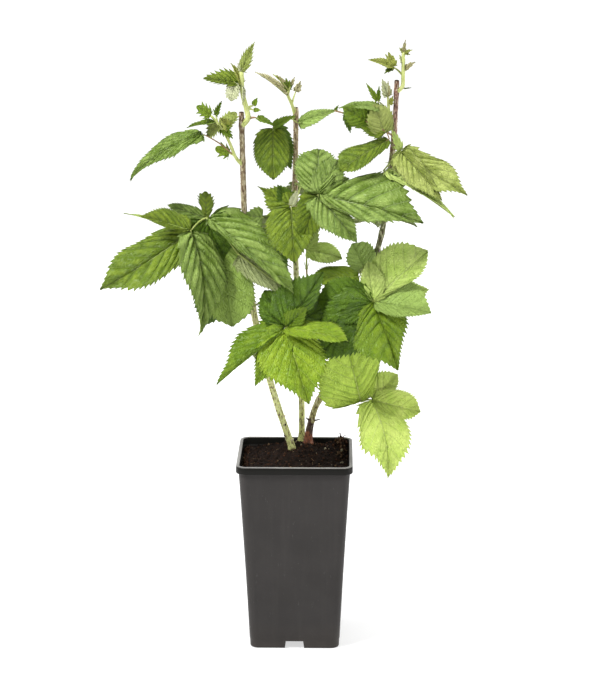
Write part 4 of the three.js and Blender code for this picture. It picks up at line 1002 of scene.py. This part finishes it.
class Blade:
    """A leaflet's midrib, the frame that its surface is built on, and the veins and teeth along it."""

    def __init__(self, base, about, seed):
        self.about = about = {**USUAL, **about}
        self.base, self.reach = base, point(*about["to"])
        self.length = np.linalg.norm(self.reach)
        self.along = self.reach / self.length
        up = looking(*about["faces"])
        self.up = unit(up - self.along * up.dot(self.along))
        self.half = about["wide"] / 2
        self.quilt = about["quilt"] * min(MOST_QUILT, QUILT * self.length)
        self.seed, self.draw, self.draws = seed, random.Random(seed), np.random.RandomState(seed)
        self.set_stations()

    def set_stations(self):
        """Counts stations along the midrib, and says where each leaves it and where it meets the margin."""
        about = self.about
        _, pairs, teeth, outs = next(row for row in DETAIL if self.length >= row[0])
        pairs, teeth = about.get("pairs", pairs), SAW_TEETH if "pairs" in about else teeth
        self.outs = np.array(outs)
        self.count = count = np.array([k + at for k in range(FAN + pairs) for at, _ in teeth] + [FAN + pairs])
        self.tooth = np.array([rise for _ in range(FAN + pairs) for _, rise in teeth] + [0.0])
        self.tooth[0] = 0.0
        above = np.clip((count - FAN) / pairs, 0, 1)
        in_fan, past = FAN_SHARE * (count / FAN) ** 1.2, FAN_SHARE + (1 - FAN_SHARE) * above**0.9
        self.margin = margin = np.where(count < FAN, in_fan, past)
        self.leave = np.minimum(NECK + (1 - NECK) * above ** (1.1 + about["gather"]), 0.985)
        back = about["back"] * np.sin(np.pi * np.clip(margin / 0.3, 0, 1))
        self.meet = NECK + (1 - NECK) * margin - back
        fade = np.clip(np.minimum(margin / 0.08, (1.03 - margin) / 0.25), 0, 1)
        self.tooth_size = about["tooth"] * (24 + 0.55 * self.length) * fade
        self.puff = np.sin(np.pi * (count % 1.0)) ** 0.62 * (1 - margin) ** 0.35
        self.puff[-1] = 0.0

    def frame(self, s):
        """Points on the midrib, and its ways across and up there, for an array of shares."""
        s = s[..., None]
        bow = self.about["bow"]
        at = self.base + self.reach * s + self.length * (self.up * (4 * bow * s * (1 - s)))
        along = self.along + self.up * (4 * bow * (1 - 2 * s))
        along = along / np.linalg.norm(along, axis=-1, keepdims=True)
        up = self.up - along * (along @ self.up)[..., None]
        up = up / np.linalg.norm(up, axis=-1, keepdims=True)
        return at, np.cross(up, along), up

    def half_width(self, hand):
        """Half the blade's width at its stations, from the neck to the point, on one hand."""
        given, share = self.about.get("left" if hand > 0 else "right"), self.margin
        if given:
            run = np.linspace(0, 1, 81)
            row = np.interp(run, PROFILE_AT, np.array([0, *given, 0]) / 100)
            row = np.convolve(np.pad(row, 4, mode="reflect", reflect_type="odd"), np.ones(9) / 9, "valid")
            return np.maximum(TIP_HALF, self.half * np.interp(share, run, row))
        widest = SHOULDER / (SHOULDER + SLOPE)
        full = widest**SHOULDER * (1 - widest) ** SLOPE
        return np.maximum(TIP_HALF, self.half / full * share**SHOULDER * (1 - share) ** SLOPE)

    def side(self, hand):
        """Rows of points on the upper and under side, from the midrib out, on one hand."""
        outs, length, cup = self.outs, self.length, self.about["cup"]
        half = self.half_width(hand)
        uneven = self.tooth_size * self.draws.uniform(0.75, 1.25, len(half))
        run = self.meet - self.leave
        slant = np.hypot(run * length, half)
        out_s, out_x = 0.8 * self.tooth * uneven * run / slant, 1.2 * self.tooth * uneven * half / slant
        edge = np.clip((outs - 0.75) / 0.25, 0, 1) ** 1.5
        s = self.leave[:, None] + run[:, None] * outs**1.28 + out_s[:, None] * edge
        x = half[:, None] * outs + out_x[:, None] * edge
        at, across, up = self.frame(s)

        bend = cup + CURL * x / self.half
        radius = self.half / CURL
        aside, lift = radius * (np.sin(bend) - math.sin(cup)), radius * (math.cos(cup) - np.cos(bend))
        phase, pace = self.draw.uniform(0, 6.28), self.draw.uniform(1.3, 2.2)
        wave = WAVE * length * np.sin(2 * np.pi * pace * s + phase)
        lift = lift + wave * outs**2 * (half / self.half)[:, None]
        crinkle = field(self.count[:, None] * 2.3 + 0 * x, x / 2.7, 1.0, self.seed + hand)
        lift = lift + CRUMPLE * length * field(s * length / 11, x / 9, 1.0, self.seed + 2 + hand) * outs
        hollow = np.clip(outs / 0.17, 0, 1) ** 0.8 * (1 - 0.72 * outs**1.5)
        puffs = self.puff[:, None] * hollow * (1 + 0.7 * crinkle)
        relief = self.quilt * (puffs - 0.45 * np.exp(-((x / 1.6) ** 2)))
        rib = np.where((self.count % 1.0) < 0.01, RIB, 0.0)[:, None] * hollow

        out = across * hand
        normal = up * np.cos(bend)[..., None] - out * np.sin(bend)[..., None]
        surface = at + out * aside[..., None] + up * lift[..., None]
        return surface + normal * relief[..., None], surface + normal * (relief - THIN - rib)[..., None]


def leaflet(skin, stems, rib, base, about, seed):
    """One leaflet: a thin closed blade, quilted between its veins and toothed all round, and its midrib."""
    blade = Blade(base, about, seed)
    faces = [np.concatenate([a[:, :0:-1], b], 1) for a, b in zip(blade.side(-1), blade.side(1))]
    rows, wide, _ = faces[0].shape
    upper, loop = sheet(rows, wide)
    under = rows * wide
    lower, rim = upper[:, [0, 3, 2, 1]] + under, hem(loop, loop + under)
    shares = np.concatenate([blade.outs[:0:-1], blade.outs])
    own = np.stack(np.broadcast_arrays(blade.count[:, None] / 10, shares[None]), -1).reshape(-1, 2)
    tone, tint = blade.about["tone"], blade.draw.uniform(-0.16, 0.16) + blade.about["tint"]
    skin.add(np.concatenate([face.reshape(-1, 3) for face in faces]), [
        (upper, tone, True), (lower, "under", True), (rim, tone, False)], np.concatenate([own, own]), tint)

    shares = np.linspace(0, 0.93, 12 if blade.length >= 34 else 7)
    at, _, up = blade.frame(shares)
    radii = max(0.45, min(0.95, 0.011 * blade.length)) * (1 - 0.8 * shares)
    rise = np.where(shares < NECK, 0.0, -radii * 0.9 - 0.45 * blade.quilt - 0.1)
    tube(stems, at + up * rise[:, None], radii, 6, rib)


# ---------------------------------------------------------------- sprays of leaves

STALK, STALK_TIP = 1.05, 0.75  # a leaf stalk's radius at its foot and at its end
STALKLET = 0.6  # a side leaflet's stalk, where its blade begins
SAG = 0.06  # how far that stalk arches, as a share of its length


def bark_start(about):
    """Where a spray's stalk leaves its cane: the cane's middle there, and a point in its bark."""
    cane, height = CANES[about["cane"]], about["height"]
    core, thick = line_at(cane["line"], height), cane_radius(cane, height)
    level = unit(point(*about["joints"][0]["reach"]) * (1, 1, 0))
    if "radius" in about:
        return core, core + level * thick * 0.3 - point(0, 0, about["sink"])
    return core, core + level * thick * 0.7


def spray(name, about, seed):
    """A spray of leaves: its blades as one piece, which stands for its node, and its stalks."""
    skin, stems = Skin(), Skin()
    stem = about.get("stem", "green_stalk")
    core, start = bark_start(about)
    radius, tip = about.get("radius", STALK), about.get("tip", STALK_TIP)
    line, at = [start], core
    number = 0
    for row in about["joints"]:
        at = at + point(*row["reach"])
        line.append(at)
        for own in row["leaflets"]:
            base = at
            if "on" in own:
                base = at + point(*own["on"])
                sag = point(0, 0, SAG * np.linalg.norm(base - at))
                ends = [at, (at + base) / 2 + sag, base]
                twig(stems, ends, 3, tip * 0.8, STALKLET, 6, own.get("stem", stem))
            leaflet(skin, stems, stem, base, own, seed * 100 + number)
            number += 1
    points = through(line, 6 if len(line) < 4 else 4)
    shares = np.linspace(0, 1, len(points))
    swell, away = 0.12 if "radius" in about else 0.7, shares * np.linalg.norm(at - start)
    radii = lerp(radius, tip, shares) * (1 + swell * np.exp(-((away / 2.5) ** 2)))
    tube(stems, points, radii, 8, stem)
    draw = random.Random(seed)
    for _ in range(int(len(points) * 1.5)):
        i = draw.randrange(1, len(points) - 1)
        way = unit(points[i + 1] - points[i - 1])
        out = unit(np.cross(way, point(draw.uniform(-1, 1), draw.uniform(-1, 1), 0.2)))
        spike(stems, points[i] + out * radii[i] * 0.9, out, draw.uniform(0.5, 1.0), 0.22, stem)
    stipules(stems, points, radii[0], stem, draw)
    skin.piece(name + "_blades", replaces=(name,), slot=SLOTS[name])
    stems.piece(name + "_stalks", slot=SLOTS[name])


def stipules(stems, points, radius, finish, draw):
    """Two thin bracts beside a stalk's foot."""
    way = unit(points[2] - points[0])
    aside = unit(np.cross(way, point(0, 0, 1)) + point(1e-3, 0, 0))
    for hand in (-1, 1):
        root = points[1] + aside * hand * radius * 0.8
        length = draw.uniform(5, 9)
        bent = way * length * 0.8 + aside * hand * length * 0.35 + point(0, 0, length * 0.35)
        twig(stems, [root, root + bent * 0.5 + point(0, 0, 1), root + bent], 3, 0.5, 0.12, 5, finish)


def back_spray(cane, height, turn, stalk, size, pairs, tone, seed):
    """A leaf behind a cane: a stalk with pairs of side leaflets and an end leaflet, all a little uneven."""
    rule = BACK_RULE
    draws = variation(seed, rule["vary"])

    def blade(away, down, long):
        length = long * next(draws)
        facing = (turn + away * next(draws) * rule["face_turn"], rule["face_up"] * next(draws))
        way = looking(turn + away * next(draws), -down * next(draws)) * length
        return leaf(way, length * rule["shape"], *facing, tone)

    joints = []
    for i in range(pairs):
        step = stalk * (1 - rule["step"] * pairs) if i == 0 else stalk * rule["step"]
        long = size * rule["side_size"] * (1 - rule["shrink"] * (pairs - 1 - i))
        sides = [blade(away, rule["side_hang"], long) for away in (-rule["side_turn"], rule["side_turn"])]
        joints.append(joint(looking(turn, rule["rise"]) * step, *sides))
    end = looking(turn, rule["rise"] * rule["level"]) * stalk * rule["step"]
    return leafy(cane, height, *joints, joint(end, blade(0, rule["hang"], size)))


# ---------------------------------------------------------------- canes

RING_STEP = 1.6
SUNK = 3.5  # how far a cane's bark goes on into the peat
NODE_SWELL, NODE_REACH, MOST_SWELL = 0.16, 3.2, 0.3  # a cane's swelling where a stalk leaves it
STUMP_LOW, STUMP_HIGH = 198, 228
# Broken stubs on the stump's top: turn and rise, length, thickness and finish.
STUMP_STUBS = (
    (-60, 35, 6, 1.1, "dark_stub"), (70, 15, 7, 1.0, "dark_stub"), (30, 60, 5, 1.6, "tan_crumb"),
    (-20, 70, 4.5, 1.8, "tan_crumb"), (-160, 60, 4, 1.6, "tan_crumb"), (130, 65, 4.5, 1.5, "tan_crumb"))
# Old bud scars low on the left cane: height, turn, length, thickness and finish.
LEFT_KNOTS = (
    (207, 240, 4, 1.5, "pale_prickle"), (209, 40, 5, 1.4, "pale_prickle"), (213, 300, 4, 1.1, "dark_stub"),
    (219, 160, 4, 1.3, "pale_prickle"), (226, 20, 5, 1.2, "dark_stub"), (235, 60, 3.6, 1.4, "pale_prickle"),
    (262, 200, 3, 1.1, "dark_stub"), (300, 30, 3, 1.0, "dark_stub"))
KNOT_RISE = 35


def node_heights(name):
    """Where stalks and shoots leave a cane."""
    found = [about["height"] for about in SPRAYS.values() if about["cane"] == name]
    return sorted(found + [row[1] for row in BACK_LEAVES.values() if row[0] == name])


def grow_cane(name, seed):
    """A cane's bark, ridged and uneven, and swollen at its nodes, with its cut end."""
    about = CANES[name]
    slim = name == "young"
    skin = Skin()
    low, high = about["line"][0][0], about["line"][-1][0]
    start = low if slim else low - SUNK
    heights = np.linspace(start, high, int((high - start) / RING_STEP) + 1)
    points = [sunk(about["line"], h) for h in heights]
    knots = node_heights(name)
    radii = []
    for h in heights:
        swell = sum(NODE_SWELL * math.exp(-(((h - k + 1.5) / NODE_REACH) ** 2)) for k in knots)
        radii.append(cane_radius(about, h) * (1 + min(swell, MOST_SWELL)))
    draw = np.random.RandomState(seed)
    waves = [(draw.randint(1, 6), draw.uniform(0, 6.28), draw.uniform(0.02, 0.2), draw.uniform(0.004, 0.016))
             for _ in range(9)]

    def sway(angles, i):
        ridge = sum(a * np.sin(n * angles + p + pace * heights[i]) for n, p, pace, a in waves)
        grain = 0.012 * field(angles * 9, np.full(len(angles), heights[i]), 1.7, seed)
        return 1 + (ridge + grain) * (0.5 if slim else 1)

    tube(skin, points, radii, 10 if slim else 26, name + "_bark", sway=sway, tip="cut_wood")
    if not slim:
        cut_top(skin, points, radii[-1])
    return skin


def cut_top(skin, points, radius):
    """The pruned end: a ragged rim of bark round darker wood, with a paler pith."""
    top, way = points[-1], unit(points[-1] - points[-4])
    tube(skin, [top - way * 0.4, top + way * 0.5], [radius * 0.86, radius * 0.80], 14, "cut_wood")
    tube(skin, [top + way * 0.1, top + way * 0.75], [radius * 0.36, radius * 0.30], 9, "pith")


def prickles():
    """Bristles on the upper canes, and sparser prickles below."""
    skin = Skin()
    draw = random.Random(71)
    for name, about in CANES.items():
        line = about["line"]
        count, crowd, size = (30, 1.0, 0.7) if name == "young" else (620, 0.62, 1)
        low, high = line[0][0] + 4, line[-1][0] - 2
        for _ in range(count):
            share = draw.random() ** crowd
            height = lerp(low, high, share)
            way = unit(line_at(line, min(height + 2, high)) - line_at(line, height - 2))
            turn = draw.uniform(0, 2 * math.pi)
            out = point(math.cos(turn), math.sin(turn), 0)
            out = unit(out - way * out.dot(way) - way * 0.25)
            root = line_at(line, height) + out * cane_radius(about, height) * 0.96
            finish = "brown_prickle" if draw.random() < lerp(0.35, 0.9, share) else "pale_prickle"
            length = draw.uniform(0.7, 1.5) * size
            spike(skin, root, out, length, draw.uniform(0.18, 0.32), finish, 0.15)
    skin.piece("cane_prickles", slot="cane_bark")


def old_stump(skin):
    """The right cane's foot: rough old wood that ends in a torn collar with broken stubs."""
    low, high = STUMP_LOW, STUMP_HIGH
    heights = np.linspace(low, high, 21)
    draw = np.random.RandomState(9)
    radii = [3.5 + 0.6 * math.sin((h - low) / 6) + 0.9 * max(0, (h - 214) / 14) for h in heights]
    points = [sunk(CANES["right"]["line"], h) - (1.6 * (1 - (h - low) / (high - low)), 0, 0) for h in heights]

    def rough(angles, i):
        torn = 0.10 * field(angles * 6, np.full(len(angles), heights[i]), 3.1, 14)
        return 1 + torn + draw.uniform(-0.03, 0.03, len(angles))

    tube(skin, points, radii, 22, "right_bark", sway=rough, tip="tan_crumb")
    for turn, rise, long, thick, finish in STUMP_STUBS:
        out = looking(turn, rise)
        root = points[-1] + out * (1, 1, 0) * 2.6 - (0, 0, 0.8)
        ends = [root, root + out * long * 0.6, root + out * long + (0, 0, 0.4)]
        twig(skin, ends, 2, thick, thick * 0.45, 7, finish)


def left_knots(skin):
    """Old bud scars low on the left cane, pale and torn, with short stubs."""
    about = CANES["left"]
    for height, turn, long, thick, finish in LEFT_KNOTS:
        out = looking(turn, KNOT_RISE)
        root = line_at(about["line"], height) + out * (1, 1, 0) * cane_radius(about, height) * 0.8
        twig(skin, [root, root + out * long * 0.6, root + out * long], 2, thick, thick * 0.35, 7, finish)


# ---------------------------------------------------------------- pot

CORNER_STEPS = 8
SHARP = 34  # degrees between two faces, from where their edge is sharp


def square_ring(half, corner, height):
    """A square of points with rounded corners, at one height."""
    made = []
    for quarter in range(4):
        across = (half - corner) * (1 if quarter in (0, 3) else -1)
        back = (half - corner) * (1 if quarter < 2 else -1)
        for k in range(CORNER_STEPS + 1):
            a = math.pi / 2 * (quarter + k / CORNER_STEPS)
            made.append(point(across + corner * math.cos(a), back + corner * math.sin(a), height))
    return made


def wall_half(height):
    return lerp(POT["foot_half"], POT["under_rim_half"], height / (POT["height"] - POT["rim_drop"]))


def loft_mesh(name, rings):
    """A closed mesh through rings of equally many points, in metres."""
    count = len(rings[0])
    faces = [tuple(int(i) for i in f) for f in band(len(rings), count)]
    faces += [tuple(range(count))[::-1], tuple(range((len(rings) - 1) * count, len(rings) * count))]
    mesh = bpy.data.meshes.new(name)
    mesh.from_pydata([tuple(p * MM) for ring in rings for p in ring], [], faces)
    return mesh


def cut(mesh, *tools):
    """The mesh less the tools."""
    body = put("body", mesh)
    helpers = [put("tool", tool) for tool in tools]
    for helper in helpers:
        boolean = body.modifiers.new("cut", "BOOLEAN")
        boolean.operation = "DIFFERENCE"
        boolean.solver = "EXACT"
        boolean.object = helper
    made = bpy.data.meshes.new_from_object(body.evaluated_get(bpy.context.evaluated_depsgraph_get()))
    for helper in [body, *helpers]:
        bpy.data.objects.remove(helper)
    return made


def on_sides(name, rings):
    """The same tool for each of the pot's four sides, from the front round."""
    tools = []
    for c, s in ((1, 0), (0, 1), (-1, 0), (0, -1)):
        turned = [[point(c * x - s * y, s * x + c * y, z) for x, y, z in ring] for ring in rings]
        tools.append(loft_mesh(name, turned))
    return tools


def recess(more):
    """What is cut away under a side, or with more, what the wall over it takes up inside the pot."""
    top, foot, high = RECESS["top_width"] / 2 + more, RECESS["foot_width"] / 2 + more, RECESS["height"] + more
    run = (-POT["foot_half"] - 20, RECESS["depth"] + more - POT["foot_half"])
    return [[(-foot, y, -1), (-top, y, high), (top, y, high), (foot, y, -1)] for y in run]


def drain():
    """A drain hole through the wall over a recess."""
    radius, y = DRAIN["radius"], DRAIN["inset"] - POT["foot_half"]
    return [[(radius * math.cos(a), y + radius * math.sin(a), z) for a in np.arange(20) * math.pi / 10]
            for z in (RECESS["height"] - 1, RECESS["height"] + 3)]


def make_pot():
    """The pot's outside less its room, with four recesses under its foot and a drain hole in each."""
    foot, wall, corner, rim, top = (POT[k] for k in ("foot_half", "wall", "corner", "rim_half", "height"))
    skirt, lip = top - POT["rim_drop"], rim - POT["rim_top"]
    # Rings from the foot up: half a side, the corner's radius and the height.
    outside = [(foot - 1.6, corner - 1.6, 0), (foot - 0.7, corner - 0.8, 0.45),
               (foot - 0.15, corner - 0.2, 1.3)]
    outside += [(wall_half(h) - 0.25, corner, h) for h in (2.2, 5.5, 9.0)] + [(wall_half(9.6), corner, 9.6)]
    outside += [(wall_half(h) - 0.35 * math.sin(math.pi * h / 193), corner, h) for h in range(20, 181, 10)]
    outside += [(wall_half(188), corner, 188), (POT["under_rim_half"], corner, skirt - 0.5),
                (rim - 0.7, corner + 1.2, skirt - 0.35), (rim - 0.15, corner + 1.5, skirt + 0.2),
                (rim, corner + 1.5, skirt + 1.0), (rim - 0.2, corner + 1.4, top - 0.9),
                (rim - 0.45, corner + 1.3, top - 0.3), (rim - 0.9, corner + 1, top)]
    inside = [(wall_half(h) - wall, corner - wall, h) for h in (wall, *range(20, 181, 20), skirt - 5)]
    inside += [(lip - 0.2, corner - wall, top - 0.7), (lip + 0.1, corner - wall, top - 0.15),
               (lip + 0.4, corner - wall + 0.3, top + 0.02), (lip + 0.4, corner - wall + 0.3, top + 3)]
    shell, room = ([square_ring(*row) for row in rows] for rows in (outside, inside))
    hollow = cut(loft_mesh("room", room), *on_sides("box", recess(wall)))
    below = on_sides("recess", recess(0)) + on_sides("drain", drain())
    made = cut(loft_mesh("pot_shell", shell), hollow, *below)
    made.materials.clear()
    made.materials.append(FINISHES["pot_plastic"])
    made.polygons.foreach_set("use_smooth", np.ones(len(made.polygons), bool))
    made.set_sharp_from_angle(angle=math.radians(SHARP))
    dress(made, "pot_shell", ("pot",))


# ---------------------------------------------------------------- soil

BED_STEPS = 116
BED_FOOT = 12
HEAP = {"x": 48, "y": 46, "wide": 9, "deep": 11, "high": 9}  # the peat heaped in a back corner
STREWN = 54  # half the square that crumbs lie on
CRUMBS, HEAPED, FIBRES, SHREDS = 1500, 90, 46, 44
# Crumbs are of the first finish whose share is over a draw.
CRUMB_MIX = ((0.62, "peat"), (0.94, "brown_crumb"), (0.985, "tan_crumb"), (1, "pale_crumb"))
GOLDEN = (1 + 5**0.5) / 2
CRUMB_CORNERS = np.array([
    (-1, GOLDEN, 0), (1, GOLDEN, 0), (-1, -GOLDEN, 0), (1, -GOLDEN, 0), (0, -1, GOLDEN), (0, 1, GOLDEN),
    (0, -1, -GOLDEN), (0, 1, -GOLDEN), (GOLDEN, 0, -1), (GOLDEN, 0, 1), (-GOLDEN, 0, -1), (-GOLDEN, 0, 1),
]) / 1.9
CRUMB_FACES = (
    (0, 11, 5), (0, 5, 1), (0, 1, 7), (0, 7, 10), (0, 10, 11), (1, 5, 9), (5, 11, 4), (11, 10, 2),
    (10, 7, 6), (7, 1, 8), (3, 9, 4), (3, 4, 2), (3, 2, 6), (3, 6, 8), (3, 8, 9), (4, 9, 5), (2, 4, 11),
    (6, 2, 10), (8, 6, 7), (9, 8, 1))
# The larger chips: x, y, size and finish.
CHIPS = ((23, 45, 2.0, "pale_crumb"), (31, 18, 2.3, "pale_crumb"), (49, 26, 2.3, "pale_crumb"),
         (49, -15, 2.2, "pale_crumb"), (0, 29, 1.0, "pale_crumb"), (26, 40, 1.1, "tan_crumb"),
         (35, 22, 1.0, "pale_crumb"), (43, 8, 1.1, "tan_crumb"), (50, 12, 1.2, "tan_crumb"))
STICK_AT = (46.0, 45.0)


def soil_height(x, y):
    """The peat's surface: level at the pot's wall, higher at the canes and in a corner, and rough."""
    edge = np.maximum(np.abs(x), np.abs(y))
    near = np.hypot(x - SOIL["mound_x"], (y - SOIL["mound_y"]) * 1.15)
    rise = np.clip((56 - edge) / 22, 0, 1) ** 0.8 * np.exp(-((near / 46) ** 2))
    heap = np.exp(-(((x - HEAP["x"]) / HEAP["wide"]) ** 2) - ((y - HEAP["y"]) / HEAP["deep"]) ** 2)
    damp = np.clip((56.5 - edge) / 8, 0.35, 1)
    rough = 1.9 * field(x, y, 9, 3) + 1.2 * field(x, y, 4, 4) + 0.8 * field(x, y, 1.9, 5)
    return SOIL["edge"] + (SOIL["mound"] - SOIL["edge"]) * rise + heap * HEAP["high"] + rough * damp


def on_soil(x, y):
    return point(x, y, soil_height(np.array(x), np.array(y)))


def make_soil():
    """The peat: its rough top, its sides along the pot's wall, and one level face below."""
    half = wall_half(SOIL["edge"]) - POT["wall"] + 0.25
    run = np.linspace(-1, 1, BED_STEPS + 1)
    u, v = np.meshgrid(run, run, indexing="ij")
    pull = 1 - 0.045 * (u * v) ** 6
    x, y = u * pull * half, v * pull * half
    top = np.stack([x, y, soil_height(x, y)], -1).reshape(-1, 3)
    upper, loop = sheet(len(run), len(run))
    low = top[loop]
    low[:, :2] *= (wall_half(BED_FOOT) - POT["wall"] - 0.4) / half
    low[:, 2] = BED_FOOT
    foot = len(top) + np.arange(len(loop))
    skin = Skin()
    skin.add(np.concatenate([top, low]), [
        (upper, "peat", True), (hem(loop, foot), "peat", False), (foot[None, :], "peat", False)])
    skin.piece("peat_bed", ("soil",), "peat")


def lump(skin, centre, size, finish, draw, flat):
    """An uneven crumb with twelve corners."""
    axes, _ = np.linalg.qr(np.array([[draw.gauss(0, 1) for _ in range(3)] for _ in range(3)]))
    if np.linalg.det(axes) < 0:
        axes[:, 0] *= -1
    uneven = np.array([[draw.uniform(0.7, 1.25)] for _ in range(12)])
    shape = CRUMB_CORNERS * uneven * (1, draw.uniform(0.6, 1), flat)
    skin.add(shape @ axes.T * size + centre, [(CRUMB_FACES, finish, False)])


def strewn(draw, margin):
    """A place on the peat, so far in from where crumbs end."""
    reach = STREWN - margin
    return on_soil(draw.uniform(-reach, reach), draw.uniform(-reach, reach))


def strew_crumbs(skin, draw):
    """Crumbs all over the peat, and larger ones heaped in its back corner."""
    for _ in range(CRUMBS):
        place = strewn(draw, 0.5)
        size = 0.45 + 1.3 * draw.random() ** 2.4
        kind = draw.random()
        finish = next(name for share, name in CRUMB_MIX if kind < share)
        if finish == "pale_crumb" and place[0] < 0:
            finish = "brown_crumb"
        lump(skin, place + (0, 0, size * 0.2), size, finish, draw, draw.uniform(0.45, 1))
    for _ in range(HEAPED):
        x, y = draw.gauss(46, 5), draw.gauss(44, 7)
        if max(abs(x), abs(y)) > STREWN:
            continue
        size = 0.8 + 1.6 * draw.random() ** 1.5
        finish = "brown_crumb" if draw.random() < 0.7 else "tan_crumb"
        lump(skin, on_soil(x, y) + (0, 0, size * 0.4), size, finish, draw, draw.uniform(0.4, 0.9))


def lay_fibres(fibres, draw):
    """Bent fibres that lie on the peat."""
    for _ in range(FIBRES):
        root = strewn(draw, 5)
        long, turn = draw.uniform(5, 15), draw.uniform(0, 2 * math.pi)
        way = point(math.cos(turn), math.sin(turn), 0)
        bend = point(-way[1], way[0], 0) * draw.uniform(-0.3, 0.3) * long
        ends = np.clip([root, root + way * long / 2 + bend, root + way * long], 1 - STREWN, STREWN - 1)
        lying = [on_soil(x, y) + (0, 0, 0.35) for x, y, _ in ends]
        twig(fibres, lying, 4, 0.32, 0.16, 5, "brown_crumb" if draw.random() < 0.75 else "tan_crumb")


def stand_shreds(fibres, draw):
    """Torn shreds that stand up along the left and the right of the bed."""
    for _ in range(SHREDS):
        across, along = ((-54, -49), (-38, 34)) if draw.random() < 0.55 else ((44, 54), (2, 50))
        root = on_soil(draw.uniform(*across), draw.uniform(*along))
        shred = [root, root + (draw.uniform(-1, 1), draw.uniform(-2, 2), draw.uniform(1.5, 4)),
                 root + (draw.uniform(-2, 2), draw.uniform(-5, 5), draw.uniform(1, 5))]
        for end in shred:
            end[0] = min(max(end[0], -54.5), 54.5)
        twig(fibres, shred, 3, 0.9, 0.25, 5, "brown_crumb" if draw.random() < 0.8 else "tan_crumb")


def strew_soil():
    """Crumbs, chips and fibres on the peat, and a short stick in its corner."""
    skin, fibres = Skin(), Skin()
    draw = random.Random(5)
    strew_crumbs(skin, draw)
    lay_fibres(fibres, draw)
    for x, y, size, finish in CHIPS:
        lump(skin, on_soil(x, y) + (0, 0, size * 0.5), size, finish, draw, 0.6)
    stand_shreds(fibres, draw)
    base = on_soil(*STICK_AT) - (0, 0, 1)
    stick = [base, base + (1.0, 0.4, 4.5), base + (0.4, 0.6, 8)]
    twig(fibres, stick, 4, 0.9, 0.55, 6, "dark_stub")
    husk = [base + (2, 0, 1), base + (4.5, 0, 4), base + (7.5, 0.6, 5.5)]
    twig(fibres, husk, 4, 0.5, 0.3, 6, "brown_crumb")
    skin.piece("peat_crumbs", slot="peat")
    fibres.piece("peat_fibres", slot="peat")


# ---------------------------------------------------------------- the assembly

FLOOR_HALF = 30  # metres
SLOTS = {row["node"]: row["material_slot"] for row in frame["record"]["subparts"]}

stand_camera()
light_studio()

floor_mesh = bpy.data.meshes.new("floor")
corners = ((-1, -1, 0), (1, -1, 0), (1, 1, 0), (-1, 1, 0))
floor_mesh.from_pydata([(x * FLOOR_HALF, y * FLOOR_HALF, z) for x, y, z in corners], [], [(0, 1, 2, 3)])
floor_mesh.materials.append(floor_finish())
floor = put("floor", floor_mesh)

make_pot()
make_soil()
strew_soil()
for number, name in enumerate(CANES):
    cane_skin = grow_cane(name, 20 + number)
    if name == "right":
        old_stump(cane_skin)
    if name == "left":
        left_knots(cane_skin)
    cane_skin.piece(name + "_cane_bark", (name + "_cane",), SLOTS[name + "_cane"])
prickles()
for number, (name, about) in enumerate(SPRAYS.items()):
    spray(name, about, 300 + number)
for number, (name, row) in enumerate(BACK_LEAVES.items()):
    spray(name, back_spray(*row, 101 + 37 * number), 400 + number)
